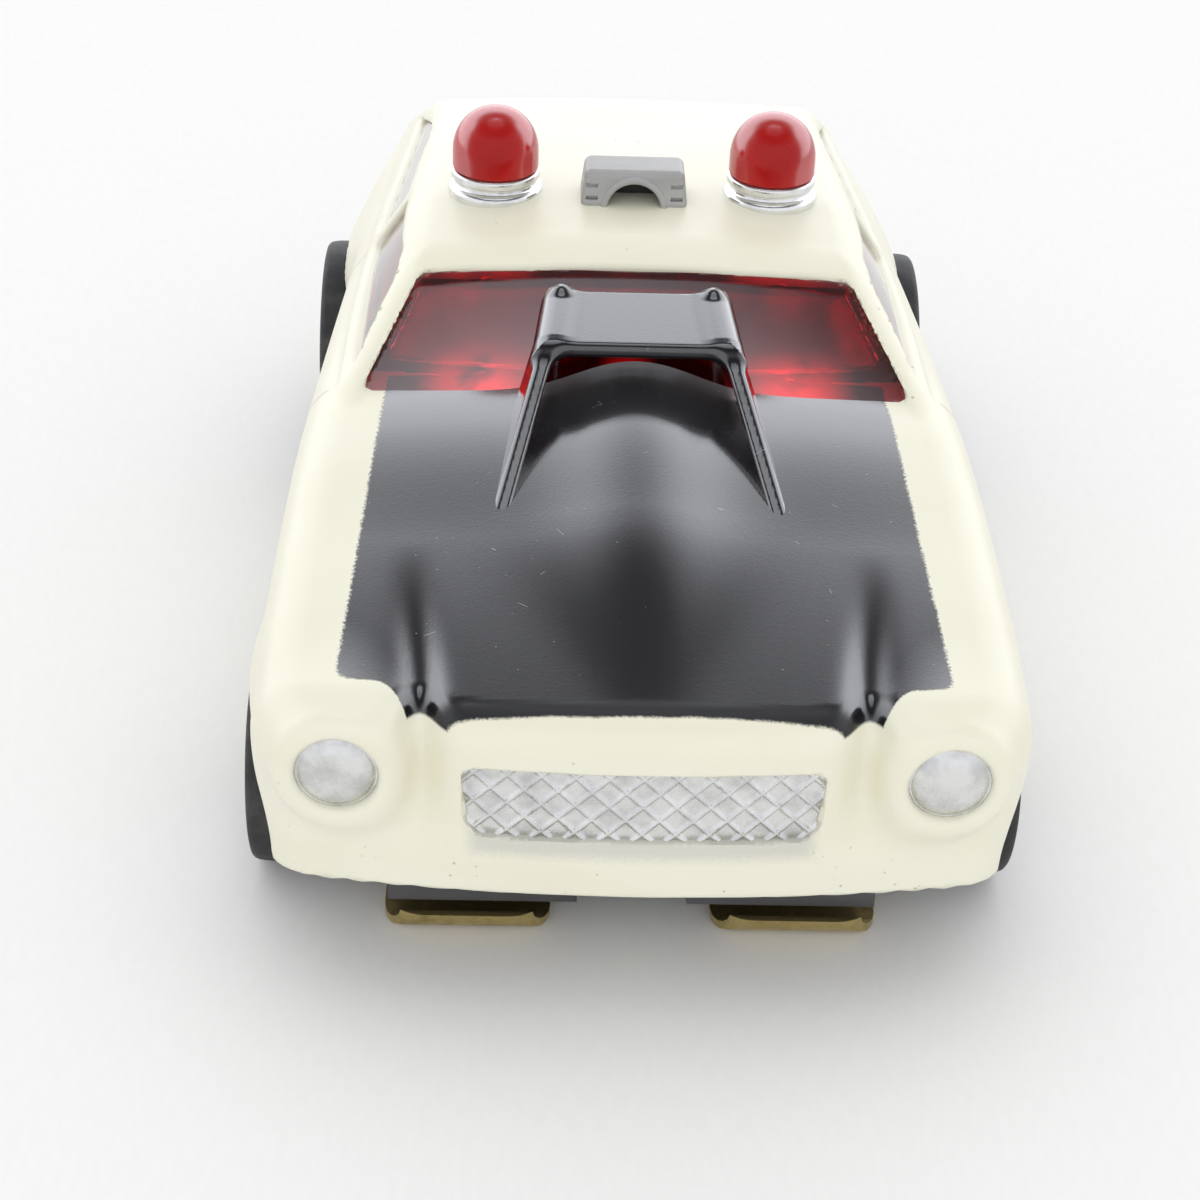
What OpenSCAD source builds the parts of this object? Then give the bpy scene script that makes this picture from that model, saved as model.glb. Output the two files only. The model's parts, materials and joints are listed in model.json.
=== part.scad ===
// Small slot-racing police wagon: a moulded shell that lifts off a motor chassis.
// The car faces -Y, +X is to the right seen from the front, +Z is up, and the tyres stand on Z = 0.

/* [Overall] */
// Length of the body from nose to tail
body_len = 61.6; // [60:0.2:66]
// Distance between the axles
wheelbase = 36.6; // [35.6:0.2:38]
// How far the middle of the wheelbase lies ahead of the middle of the body
axle_lead = 1.2; // [0.2:0.1:1.5]

/* [Shell plan] */
// Wall of the moulded shell
shell_wall = 1.0; // [0.8:0.05:1.2]
// Half width of the belt at the nose
nose_half_w = 14.5; // [14:0.1:14.8]
// Half width of the belt over the front axle
front_half_w = 14.8; // [14.4:0.1:15.2]
// Half width of the belt at the windshield base
cowl_half_w = 14.8; // [14.4:0.1:15.2]
// Half width of the belt over the rear axle
rear_half_w = 13.4; // [13:0.1:14.2]
// Half width of the belt at the tail
tail_half_w = 12.6; // [12:0.1:13.4]
// How far the front wheel arches flare out
front_flare = 1.7; // [1.4:0.1:1.8]
// How far the rear wheel arches flare out
rear_flare = 1.6; // [1:0.1:2]
// How far the sill tucks in below the belt
sill_tuck = 0.7; // [0.3:0.1:1]

/* [Shell heights] */
// Radius of the shoulder between side and top
shoulder_r = 2.4; // [2:0.1:2.8]
// Height of the shoulder top at the nose
nose_edge_z = 13.9; // [13.4:0.1:14.4]
// Height of the shoulder top over the front axle
front_edge_z = 15.5; // [15:0.1:15.8]
// Height of the shoulder top at the windshield base
cowl_edge_z = 16.7; // [16.4:0.1:17]
// Height of the shoulder top over the rear axle
rear_edge_z = 16.2; // [15.8:0.1:16.6]
// Height of the shoulder top at the tail
tail_edge_z = 14.8; // [14.4:0.1:15.2]
// Height of the lower edge at the nose
nose_lip_z = 6.2; // [5.8:0.1:6.3]
// Height of the lower edge of the sills
sill_z = 4.5; // [4.2:0.1:5]
// Height of the lower edge at the tail
tail_lip_z = 5.6; // [5:0.1:6]

/* [Hood and nose] */
// Rise of the hood from its edges to the middle
hood_crown = 0.35; // [0.1:0.05:0.6]
// Height of the middle bulge at its rear end
bulge_h = 0.9; // [0.5:0.1:1.2]
// Half width of the middle bulge at its rear end
bulge_half_w = 4.6; // [4:0.1:5]
// Depth of the valley between each lamp pod and the nose
valley_depth = 1.3; // [0.8:0.1:1.6]
// Distance of that valley from the middle at the nose
valley_x = 8.6; // [8.4:0.1:8.9]
// Half width of that valley
valley_half_w = 0.9; // [0.7:0.1:1]
// How far the valley runs back from the nose
valley_len = 9; // [7:0.5:10]
// Radius of the rolled edge round the nose and the tail
nose_roll_r = 2.2; // [1.8:0.1:2.6]
// How far the nose bows back at the sides
nose_bow = 1.8; // [1.2:0.1:2.2]
// Width of the grille
grille_w = 14.2; // [13:0.2:14.6]
// Height of the grille
grille_h = 3.3; // [2.8:0.1:3.6]
// Height of the middle of the grille
grille_z = 10.5; // [10:0.1:10.8]
// Number of lattice diamonds across the grille
grille_diamonds = 10; // [8:1:12]
// Width of one lattice bar
lattice_w = 0.28; // [0.2:0.02:0.34]
// Distance of the headlights from the middle
lamp_x = 11.7; // [11.5:0.1:11.9]
// Height of the headlights
lamp_z = 11.6; // [11.3:0.1:11.9]
// Diameter of a headlight lens
lamp_d = 3.1; // [2.8:0.1:3.3]
// Radius of a lamp pod
pod_r = 2.6; // [2.4:0.1:2.7]

/* [Greenhouse] */
// Distance from nose to windshield base
cowl_from_nose = 21.4; // [21:0.1:21.8]
// Length of the windshield seen from above
windshield_run = 7; // [6.4:0.1:7.6]
// Length of the deck between the tailgate's foot and the tail
tail_deck = 3.3; // [2.6:0.1:4.7]
// Length of the tailgate seen from above
tailgate_run = 8; // [7:0.1:8.6]
// Height of the roof edge at the windshield
roof_front_z = 20.0; // [19.6:0.1:20.3]
// Height of the roof edge at the beacons
roof_mid_z = 20.5; // [20.2:0.1:20.8]
// Height of the roof edge at the tailgate
roof_rear_z = 19.5; // [19:0.1:19.9]
// Rise of the roof from its edge to the middle
roof_crown = 0.5; // [0.3:0.1:0.8]
// Half width of the greenhouse where it leaves the body
glass_base_half_w = 13.1; // [12.8:0.1:13.3]
// Half width of the greenhouse at the roof edge
roof_half_w = 10.4; // [10:0.1:10.8]
// How much narrower the greenhouse is at the rear
glass_taper = 1.1; // [0.6:0.1:1.4]
// How far the windshield and the tailgate bow out at their base
shield_bow = 1.2; // [0.8:0.1:1.5]
// Width of the pillars beside the windshield
pillar_w = 0.85; // [0.7:0.05:1.1]
// Rounding of the window corners
window_r = 0.5; // [0.4:0.05:0.7]
// Thickness of the window insert
glass_t = 0.55; // [0.45:0.05:0.7]
// Gap between the window insert and the shell
glass_gap = 0.1; // [0.08:0.01:0.14]

/* [Hood scoop] */
// Distance from the scoop's feet to the windshield base
scoop_reach = 7; // [6.5:0.1:7.4]
// Half width between the scoop's feet
scoop_foot_x = 5.9; // [5.6:0.1:6.2]
// Half width of the scoop's top at its mouth
scoop_top_x = 4.0; // [3.7:0.1:4.3]
// Height of the scoop's top at its mouth
scoop_mouth_z = 19.4; // [19.1:0.1:19.6]
// Length of the scoop's top
scoop_top_len = 4.5; // [4.1:0.1:4.8]
// Wall of the scoop
scoop_wall = 0.6; // [0.5:0.05:0.7]

/* [Roof lights] */
// Distance of the beacons from the middle
beacon_x = 6.6; // [6.3:0.1:6.9]
// Distance of the beacons behind the roof's front edge
beacon_back = 6.9; // [6.2:0.1:7.4]
// Diameter of a beacon dome
dome_d = 4.1; // [3.8:0.1:4.3]
// Height of a beacon above its base
dome_h = 2.9; // [2.6:0.1:3.1]
// Diameter of a beacon base
beacon_base_d = 4.5; // [4.4:0.1:4.8]
// Height of a beacon base
beacon_base_h = 1.5; // [1.2:0.1:1.7]
// Diameter of the pegs that hold the roof lights
peg_d = 1.4; // [1.2:0.1:1.6]
// Width of the siren
siren_w = 5.1; // [4.8:0.1:5.4]
// Height of the siren
siren_h = 1.8; // [1.6:0.1:2]
// Length of the siren
siren_len = 2.6; // [2.2:0.1:3]

/* [Wheels] */
// Diameter of the front tyres
front_tyre_d = 9.2; // [9:0.1:9.6]
// Width of the front tyres
front_tyre_w = 3.6; // [3.2:0.1:3.8]
// Width over the front tyres
front_over_w = 32.4; // [32:0.1:32.8]
// Diameter of the rear tyres
rear_tyre_d = 11.6; // [11.4:0.1:12]
// Width of the rear tyres
rear_tyre_w = 5.4; // [4.8:0.1:5.6]
// Width over the rear tyres
rear_over_w = 32.2; // [31.8:0.1:32.6]
// Diameter of the front rims
front_rim_d = 6; // [5.6:0.1:6.4]
// Diameter of the rear rims
rear_rim_d = 7.4; // [7:0.1:7.8]
// Diameter of the axles
axle_d = 1.5; // [1.4:0.05:1.6]
// Gap round a tyre in its wheel arch
arch_gap = 0.8; // [0.6:0.05:1]

/* [Gears and motor] */
// Tooth module of all the gears
gear_m = 0.4; // [0.38:0.01:0.41]
// Teeth of the gear on the drive shaft
drive_teeth = 22; // [20:1:24]
// Teeth of the idler gear, an even number
idler_teeth = 24; // [22:2:26]
// Teeth of the gear on the motor shaft
motor_teeth = 14; // [12:1:16]
// Teeth of the pinion under the drive gear
pinion_teeth = 8; // [8:1:9]
// Teeth of the crown gear
crown_teeth = 15; // [14:1:16]
// Face width of the gears on the plate
gear_face = 1.3; // [1.1:0.1:1.5]
// Play between gear teeth
backlash = 0.14; // [0.12:0.01:0.18]
// Radius of the armature
armature_r = 5.4; // [5.1:0.1:5.5]
// Height of the armature's iron
core_h = 3; // [2.6:0.1:3.2]
// Diameter of the motor and gear shafts
shaft_d = 1.2; // [1.1:0.05:1.3]
// Length of each magnet along the car
magnet_len = 3.8; // [3.4:0.1:4]
// Diameter of the brushes
brush_d = 2; // [1.8:0.1:2.2]
// Distance of the brushes from the motor shaft
brush_x = 2.7; // [2.5:0.1:2.8]

/* [Chassis] */
// Width of the chassis floor
chassis_w = 20.4; // [19.8:0.2:20.8]
// Distance from the front axle to the chassis nose
chassis_nose = 6; // [5.8:0.1:6.2]
// Distance from the rear axle to the chassis tail
chassis_tail = 6; // [5.8:0.1:6.4]
// Height of the underside of the floor
floor_z = 2.8; // [2.7:0.05:2.9]
// Thickness of the floor
floor_t = 0.7; // [0.6:0.05:0.75]
// Height of the underside of the nose plate
nose_plate_z = 1.6; // [1.5:0.05:1.7]
// Thickness of the nose plate
nose_plate_t = 1.7; // [1.5:0.1:1.8]
// Width of the notch in the nose plate
notch_w = 4.6; // [4.2:0.1:5]
// Thickness of the motor's side walls
tub_wall = 1.2; // [1:0.05:1.3]
// Thickness of the gear plate
plate_t = 1; // [0.9:0.05:1.2]
// Diameter of the guide pin socket
guide_bore_d = 2; // [1.8:0.05:2.1]
// Depth of the guide pin socket
guide_bore_len = 3.2; // [3:0.1:3.6]
// Wall round the guide pin socket
guide_wall = 0.7; // [0.6:0.05:0.8]
// Height at which the shell sits at the front
front_seat_z = 6.4; // [6.2:0.1:6.8]
// Height at which the shell sits at the rear
rear_seat_z = 7.2; // [7:0.1:7.6]

/* [Pickup shoes] */
// Width of a pickup shoe
shoe_w = 7; // [6.6:0.1:7.2]
// Distance of the shoes from the middle
shoe_x = 6.9; // [6.8:0.1:7]
// Thickness of the shoe metal
shoe_t = 0.35; // [0.3:0.01:0.4]
// Height of the shoes above the floor
shoe_clear = 0.15; // [0.1:0.01:0.2]
// Length of a shoe from its pivot to its front end
shoe_len = 17.7; // [17.3:0.1:17.9]
// Distance the shoes reach past the chassis nose
shoe_reach = 0.6; // [0.55:0.05:0.7]
// Height of the shoe pivot
pivot_z = 1.95; // [1.93:0.01:1.97]
// Diameter of the shoe pivot pin
pivot_d = 0.9; // [0.8:0.05:0.95]
// Wire of the shoe springs
wire_d = 0.3; // [0.26:0.01:0.32]
// Mean diameter of the shoe springs
spring_d = 2.2; // [2:0.1:2.3]
// Curls of one shoe spring
spring_curls = 4.5; // [4:0.5:4.5]

/* [Hidden] */
$fn = 64;
hull_fn = 24;

// Clearances
press_gap = 0.01;
run_gap = 0.05;
part_gap = 0.2;
lens_gap = 0.05;
air_gap = 0.4;
brush_gap = 0.02;
// How far joined bodies run into one another, and a length longer than any cut
lap = 0.2;
big = 40;

// Places along the car
y_nose = -body_len / 2;
y_tail = body_len / 2;
front_axle_y = -wheelbase / 2 - axle_lead;
rear_axle_y = front_axle_y + wheelbase;
cowl_y = y_nose + cowl_from_nose;
roof_front_y = cowl_y + windshield_run;
tailgate_y = y_tail - tail_deck;
roof_rear_y = tailgate_y - tailgate_run;
beacon_y = roof_front_y + beacon_back;

// Heights and places of the running gear
front_axle_z = front_tyre_d / 2;
rear_axle_z = rear_tyre_d / 2;
floor_top = floor_z + floor_t;
drive_r = gear_m * drive_teeth / 2;
idler_r = gear_m * idler_teeth / 2;
motor_r = gear_m * motor_teeth / 2;
pinion_r = gear_m * pinion_teeth / 2;
crown_r = gear_m * crown_teeth / 2;
idler_y = rear_axle_y - drive_r - idler_r;
motor_y = idler_y - idler_r - motor_r;
crown_half = 0.45;
pinion_z = rear_axle_z + crown_r - crown_half - part_gap;
plate_z = rear_axle_z + crown_r + crown_half + 2 * part_gap;
plate_top = plate_z + plate_t;
gear_z = plate_top + part_gap;
gear_top = gear_z + gear_face;
well_wall = 0.6;
tub_end = 1.2;
tail_bar = 1.4;
comm_t = 0.6;
winding_room = 0.7;
winding_grow = 0.45;
guide_lap = 0.3;
guide_drop = 0.3;
spring_back = 10.9;
cup_depth = 0.6;
well_r = armature_r + air_gap;
tub_half_w = well_r + well_wall;
tub_out = tub_half_w + tub_wall;
magnet_front_y = motor_y - armature_r - magnet_len;
magnet_rear_y = motor_y + armature_r + magnet_len;
tub_front_y = magnet_front_y - tub_end;
tub_rear_y = rear_axle_y + chassis_tail - tail_bar;
bay_front_y = magnet_rear_y + air_gap;
chassis_front_y = front_axle_y - chassis_nose;
chassis_rear_y = rear_axle_y + chassis_tail;
comm_z = floor_top + air_gap;
core_z = comm_z + comm_t + winding_room;
guide_r = guide_bore_d / 2 + guide_wall;
guide_y = chassis_front_y + nose_plate_t + guide_r - guide_lap;
guide_mouth_z = nose_plate_z - guide_drop;
shoe_front_y = chassis_front_y - shoe_reach;
shoe_pivot_y = shoe_front_y + shoe_len;
spring_y = shoe_front_y + spring_back;
spring_low_z = shoe_clear + shoe_t;
spring_high_z = floor_top + cup_depth;

// Eases from 0 at a to 1 at b
function ease(t, a, b) =
    let (u = min(1, max(0, (t - a) / (b - a))))
    u * u * (3 - 2 * u);

// Slope of a station list at station k
function slope(st, k) =
    let (a = max(0, k - 1), b = min(len(st) - 1, k + 1))
    (st[b][1] - st[a][1]) / (st[b][0] - st[a][0]);

// Smooth value along hand-set stations [place, value]
function along(t, st) =
    let (
        last = len(st) - 1,
        v = min(st[last][0], max(st[0][0], t)),
        k = max([for (i = [0 : last - 1]) if (v >= st[i][0]) i]),
        d = st[k + 1][0] - st[k][0],
        u = (v - st[k][0]) / d
    )
    (2 * u ^ 3 - 3 * u ^ 2 + 1) * st[k][1] + (u ^ 3 - 2 * u ^ 2 + u) * d * slope(st, k)
    + (3 * u ^ 2 - 2 * u ^ 3) * st[k + 1][1] + (u ^ 3 - u ^ 2) * d * slope(st, k + 1);

// The belt's half width, the shoulder's height and the lower edge along the car
belt_line = [
    [y_nose, nose_half_w], [front_axle_y, front_half_w], [cowl_y, cowl_half_w],
    [rear_axle_y, rear_half_w], [y_tail, tail_half_w]
];
edge_line = [
    [y_nose, nose_edge_z], [front_axle_y, front_edge_z], [cowl_y, cowl_edge_z],
    [rear_axle_y, rear_edge_z], [y_tail, tail_edge_z]
];
lip_line = [
    [y_nose, nose_lip_z], [front_axle_y, sill_z], [rear_axle_y, sill_z], [y_tail, tail_lip_z]
];
roof_line = [[roof_front_y, roof_front_z], [beacon_y, roof_mid_z], [roof_rear_y, roof_rear_z]];
front_arch_top = front_axle_z + front_tyre_d / 2 + arch_gap;
rear_arch_top = rear_axle_z + rear_tyre_d / 2 + arch_gap;

// Swell of one wheel arch at a place on the side
flare_spread = 0.62;
flare_low = 1;
flare_high = 3;
function flare(y, z, axle_y, tyre_d, top, size) =
    size * exp(-((y - axle_y) / (tyre_d * flare_spread)) ^ 2)
    * (1 - ease(z, top - flare_low, top + flare_high));

// Half width of the lower body
function half_w(y, z) =
    let (belt = along(y, belt_line), top = along(y, edge_line) - shoulder_r)
    belt - sill_tuck * (1 - ease(z, along(y, lip_line), top))
    + flare(y, z, front_axle_y, front_tyre_d, front_arch_top, front_flare)
    + flare(y, z, rear_axle_y, rear_tyre_d, rear_arch_top, rear_flare);

// Height of the hood, its bulge and its two valleys over the shoulder line
valley_drift = 1.5;
bulge_lead = 0.35;
bulge_power = 2.5;
function hood_rise(x, y) =
    let (
        half = along(y, belt_line) - shoulder_r,
        grow = ease(y, y_nose, cowl_y - scoop_reach),
        fade = ease(y, roof_front_y, cowl_y),
        back = ease(y, y_nose + valley_len, y_nose),
        wide = bulge_half_w * (bulge_lead + (1 - bulge_lead) * grow),
        groove = (abs(x) - valley_x - valley_drift * (1 - back)) / valley_half_w
    )
    hood_crown * (1 - min(1, abs(x) / half) ^ 2)
    + bulge_h * grow * fade * exp(-(abs(x) / wide) ^ bulge_power)
    - valley_depth * back * exp(-groove ^ 2);

// How far the nose face lies behind its front plane
valley_foot = 1;
function nose_face(x, z) =
    let (groove = (abs(x) - valley_x) / valley_half_w)
    nose_bow * (x / nose_half_w) ^ 2
    + valley_depth * exp(-groove ^ 2) * ease(z, nose_lip_z + valley_foot, lamp_z);

// Half of one cross-section, from the lower edge up the side and over to the middle
side_steps = 4;
arc_steps = 4;
top_steps = 8;
least_r = 0.6;
function half_section(y, in, low) =
    let (
        edge = along(y, edge_line) - in,
        r = max(shoulder_r - in, least_r),
        lip = low == undef ? along(y, lip_line) : low,
        knee = edge - r,
        wide = half_w(y, knee) - in
    )
    concat(
        [for (i = [0 : side_steps]) let (z = lip + (knee - lip) * i / side_steps) [half_w(y, z) - in, z]],
        [for (i = [1 : arc_steps]) let (a = 90 * i / arc_steps) [wide - r + r * cos(a), knee + r * sin(a)]],
        [for (i = [1 : top_steps])
            let (x = (wide - r) * (1 - i / top_steps)) [x, edge + hood_rise(x, y)]]
    );

// One closed ring of the lower body, as [x, z] points
function ring(y, in, low) =
    let (h = half_section(y, in, low), n = len(h))
    concat(h, [for (i = [n - 2 : -1 : 0]) [-h[i][0], h[i][1]]]);

// Ring drawn in towards a middle point
function drawn_in(points, q, mid_z) = [for (p = points) [p[0] * q, mid_z + (p[1] - mid_z) * q]];

// Nose or tail rings: a rolled edge, then rings drawn in over the face
roll_angles = [0, 30, 60];
draw_in = [0.3, 0.6, 0.85];
face_mid_z = grille_z - 1;
function end_rings(y, in, low, front) =
    let (
        way = front ? 1 : -1,
        deep = nose_roll_r + nose_bow + valley_depth,
        flat = ring(y + way * deep, in + nose_roll_r, low)
    )
    concat(
        [for (q = draw_in) [for (p = drawn_in(flat, q, face_mid_z)) end_point(p, y, in, 0, way, front)]],
        [for (a = roll_angles)
            let (s = nose_roll_r * (1 - sin(a)), back = nose_roll_r * (1 - cos(a)))
            [for (p = ring(y + way * deep, in + s, low)) end_point(p, y, in, back, way, front)]]
    );
function end_point(p, y, in, back, way, front) =
    let (face = front ? nose_face(p[0], p[1]) : nose_bow * (p[0] / nose_half_w) ^ 2)
    [p[0], y + way * (in + back + face), p[1]];

// All rings of the lower body from nose to tail
body_steps = 21;
function body_rings(in, low) =
    let (
        start = y_nose + nose_roll_r + nose_bow + valley_depth,
        end = y_tail - nose_roll_r - nose_bow,
        tail = end_rings(y_tail, in, low, false)
    )
    concat(
        end_rings(y_nose, in, low, true),
        [for (i = [0 : body_steps])
            let (y = start + (end - start) * i / body_steps)
            [for (p = ring(y, in, low)) [p[0], y, p[1]]]],
        [for (i = [len(tail) - 1 : -1 : 0]) tail[i]]
    );

// Mean of a ring, for the middle of an end cap
function middle(r) = [for (k = [0 : 2]) let (s = [for (p = r) p[k]]) (min(s) + max(s)) / 2];

// Block between two corners, and a thing drawn on both sides
module block(x0, x1, y0, y1, z0, z1) {
    translate([x0, y0, z0]) cube([x1 - x0, y1 - y0, z1 - z0]);
}
module both_sides() {
    children();
    mirror([1, 0, 0]) children();
}

// Solid through a list of equal rings, closed at both ends
module loft(rings) {
    n = len(rings);
    m = len(rings[0]);
    points = concat([for (r = rings) each r], [middle(rings[0]), middle(rings[n - 1])]);
    sides = [for (i = [0 : n - 2], j = [0 : m - 1])
        let (a = i * m + j, b = i * m + (j + 1) % m) each [[a, b, a + m], [b, b + m, a + m]]];
    start = [for (j = [0 : m - 1]) [n * m, (j + 1) % m, j]];
    end = [for (j = [0 : m - 1]) [n * m + 1, (n - 1) * m + j, (n - 1) * m + (j + 1) % m]];
    polyhedron(points, concat(sides, start, end));
}

// Plan of the greenhouse as a rounded oblong, clockwise seen from above
corner_r = 1.3;
corner_steps = 3;
edge_steps = 7;
function oblong(half, front, rear) =
    let (
        mids = [[half - corner_r, front + corner_r], [corner_r - half, front + corner_r],
            [corner_r - half, rear - corner_r], [half - corner_r, rear - corner_r]]
    )
    [for (k = [0 : 3])
        let (
            here = mids[k],
            next = mids[(k + 1) % 4],
            end = -90 * (k + 1),
            out = corner_r * [cos(end), sin(end)]
        )
        each concat(
            [for (i = [0 : corner_steps])
                let (a = end + 90 * (1 - i / corner_steps)) here + corner_r * [cos(a), sin(a)]],
            [for (i = [1 : edge_steps - 1]) here + out + (next - here) * i / edge_steps]
        )];

// One level of the greenhouse: u runs from 0 at the body to 1 at the roof edge
function glass_level(u, in, shrink) =
    let (
        front = cowl_y + windshield_run * u + in + shrink,
        rear = tailgate_y - tailgate_run * u - in - shrink,
        half = glass_base_half_w + (roof_half_w - glass_base_half_w) * u - in - shrink,
        bow = shield_bow * (1 - u / 2)
    )
    [for (p = oblong(half, front, rear))
        let (
            lead = ease(p[1], roof_front_y + windshield_run, front) * (1 - (p[0] / half) ^ 2),
            trail = ease(p[1], roof_rear_y - tailgate_run, rear) * (1 - (p[0] / half) ^ 2),
            y = p[1] - bow * lead + bow * trail,
            x = p[0] * (1 - glass_taper / glass_base_half_w * ease(p[1], roof_front_y, tailgate_y)),
            low = along(y, edge_line),
            high = along(y, roof_line)
        )
        [x, y, low + (high - low) * u - in]];

// Greenhouse solid, drawn in all round by in, with its foot sunk into the lower body
roof_roll_r = 0.9;
roof_roll_share = 0.7;
glass_sink = 2;
wall_levels = [0, 0.33, 0.66];
wall_rolls = [0, 30, 60, 90];
roof_rings = [0.85, 0.6, 0.3];
function sunk(points) = [for (p = points) p - [0, 0, glass_sink]];
module greenhouse(in) {
    edge_u = 1 - roof_roll_r / (roof_mid_z - cowl_edge_z);
    top = glass_level(1, in, roof_roll_r);
    mid = middle(top);
    loft(concat(
        [sunk(glass_level(0, in, 0))],
        [for (u = wall_levels) glass_level(u, in, 0)],
        [for (a = wall_rolls)
            glass_level(edge_u + (1 - edge_u) * sin(a), in, roof_roll_share * roof_roll_r * (1 - cos(a)))],
        [for (q = roof_rings)
            [for (p = top)
                let (y = mid[1] + (p[1] - mid[1]) * q)
                [p[0] * q, y, along(y, roof_line) - in + roof_crown * (1 - q ^ 2)]]]
    ));
}

// Window openings as prisms with round corners, from their corner points
module prism(corners, grow, len) {
    hull()
        for (c = corners)
            translate([c[0], c[1], 0]) cylinder(r = window_r + grow, h = len, $fn = hull_fn);
}

// Corner places of the windows
window_sill = 0.3;
window_head = 0.5;
shield_head = 0.1;
gate_head = 0.6;
gate_sill = 1.4;
side_post = 1;
post_back = 2;
door_lead = 3.4;
door_head_lead = 0.4;
quarter_low_back = 2.2;
quarter_high_lead = 1.4;
quarter_drop = 0.3;
shield_low_x = glass_base_half_w - pillar_w - window_r;
shield_high_x = roof_half_w - pillar_w - window_r;
gate_low_x = shield_low_x - glass_taper - pillar_w;
gate_high_x = shield_high_x - glass_taper;
window_low_z = cowl_edge_z + window_sill + window_r;
window_high_z = roof_front_z - window_head - window_r;
post_y = beacon_y + post_back;

module windshield_opening(grow) {
    low = cowl_y + window_sill + window_r;
    high = roof_front_y - shield_head - window_r;
    translate([0, 0, sill_z])
        prism([
            [-shield_low_x, low], [shield_low_x, low], [-shield_low_x / 2, low - shield_bow],
            [shield_low_x / 2, low - shield_bow], [-shield_high_x, high], [shield_high_x, high]
        ], grow, big);
}
module tailgate_opening(grow) {
    low = tailgate_y - gate_sill - window_r;
    high = roof_rear_y + gate_head + window_r;
    translate([0, 0, sill_z])
        prism([
            [-gate_low_x, low], [gate_low_x, low], [-gate_high_x, high], [gate_high_x, high]
        ], grow, big);
}
// Side windows are drawn in [z, y] and pushed out along X
module side_opening(corners, side, grow) {
    rotate([0, 90, 0])
        mirror([1, 0, 0])
            translate([0, 0, side > 0 ? 0 : -big])
                prism(corners, grow, big);
}
door_rear_y = post_y - side_post / 2 - window_r;
quarter_front_y = post_y + side_post / 2 + window_r;
door_corners = [
    [window_low_z, cowl_y + door_lead], [window_low_z, door_rear_y],
    [window_high_z, roof_front_y + door_head_lead], [window_high_z, door_rear_y]
];
quarter_corners = [
    [window_low_z, quarter_front_y], [window_low_z, roof_rear_y + quarter_low_back],
    [window_high_z - quarter_drop, quarter_front_y],
    [window_high_z - quarter_drop, roof_rear_y - quarter_high_lead]
];
module openings(grow) {
    windshield_opening(grow);
    tailgate_opening(grow);
    for (side = [-1, 1]) {
        side_opening(door_corners, side, grow);
        side_opening(quarter_corners, side, grow);
    }
}

// Wheel arch cut through one side
module arch(y, z, tyre_d, side, inner_x) {
    r = tyre_d / 2 + arch_gap;
    hull()
        for (drop = [0, z + r])
            translate([side * (inner_x + big / 2), y, z - drop])
                rotate([0, 90, 0])
                    cylinder(r = r, h = big, center = true, $fn = 2 * hull_fn);
}
front_arch_x = tub_out + 3;
rear_arch_x = tub_out + 1;

// Raised pod round one headlight, growing out of the fender and the lower corner
pod_front = 0.5;
pod_len = 6.5;
pod_edge = 0.6;
pod_sink = 0.2;
corner_ball_r = 1.6;
corner_back = 3.6;
ball_fn = 16;
module pod(side) {
    rear_y = y_nose + pod_front + pod_len;
    rear_x = along(rear_y, belt_line) - shoulder_r - pod_sink;
    rear_z = along(rear_y, edge_line) - shoulder_r - pod_sink;
    corner_x = nose_half_w - sill_tuck - corner_ball_r;
    hull() {
        translate([side * lamp_x, y_nose + pod_front, lamp_z])
            rotate([-90, 0, 0]) {
                cylinder(r = pod_r - pod_edge, h = lap, $fn = hull_fn);
                translate([0, 0, pod_edge]) cylinder(r = pod_r, h = lap, $fn = hull_fn);
            }
        translate([side * rear_x, rear_y, rear_z]) sphere(r = shoulder_r, $fn = ball_fn);
        translate([side * rear_x, rear_y, lamp_z - pod_r]) sphere(r = shoulder_r, $fn = ball_fn);
        translate([side * corner_x, y_nose + corner_back, nose_lip_z + corner_ball_r])
            sphere(r = corner_ball_r, $fn = ball_fn);
    }
}

// Fins and top of the scoop, as small balls joined up, clear of the windshield behind them
scoop_lead = 0.6;
scoop_climb = 0.5;
scoop_pinch = 0.4;
scoop_sink = 0.3;
scoop_lift = 0.9;
scoop_mouth_y = cowl_y - scoop_lead;
scoop_rear_y = scoop_mouth_y + scoop_top_len;
scoop_rear_z = scoop_mouth_z + scoop_climb;
scoop_foot_y = cowl_y - scoop_reach;
function shield_z(y) = cowl_edge_z + (roof_front_z - cowl_edge_z) * (y - cowl_y) / windshield_run;
module ball(x, y, z) {
    translate([x, y, z]) sphere(r = scoop_wall / 2, $fn = ball_fn);
}
module scoop_fin(side) {
    hull() {
        ball(side * scoop_foot_x, scoop_foot_y, along(scoop_foot_y, edge_line) - scoop_sink);
        ball(side * (scoop_foot_x - scoop_sink), cowl_y - shield_bow, cowl_edge_z - scoop_sink);
        ball(side * scoop_top_x, scoop_rear_y, shield_z(scoop_rear_y) + scoop_lift);
        ball(side * (scoop_top_x - scoop_pinch), scoop_rear_y, scoop_rear_z);
        ball(side * scoop_top_x, scoop_mouth_y, scoop_mouth_z);
    }
}
module scoop_top() {
    hull()
        for (side = [-1, 1]) {
            ball(side * (scoop_top_x - scoop_pinch), scoop_rear_y, scoop_rear_z);
            ball(side * scoop_top_x, scoop_mouth_y, scoop_mouth_z);
        }
}

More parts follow.
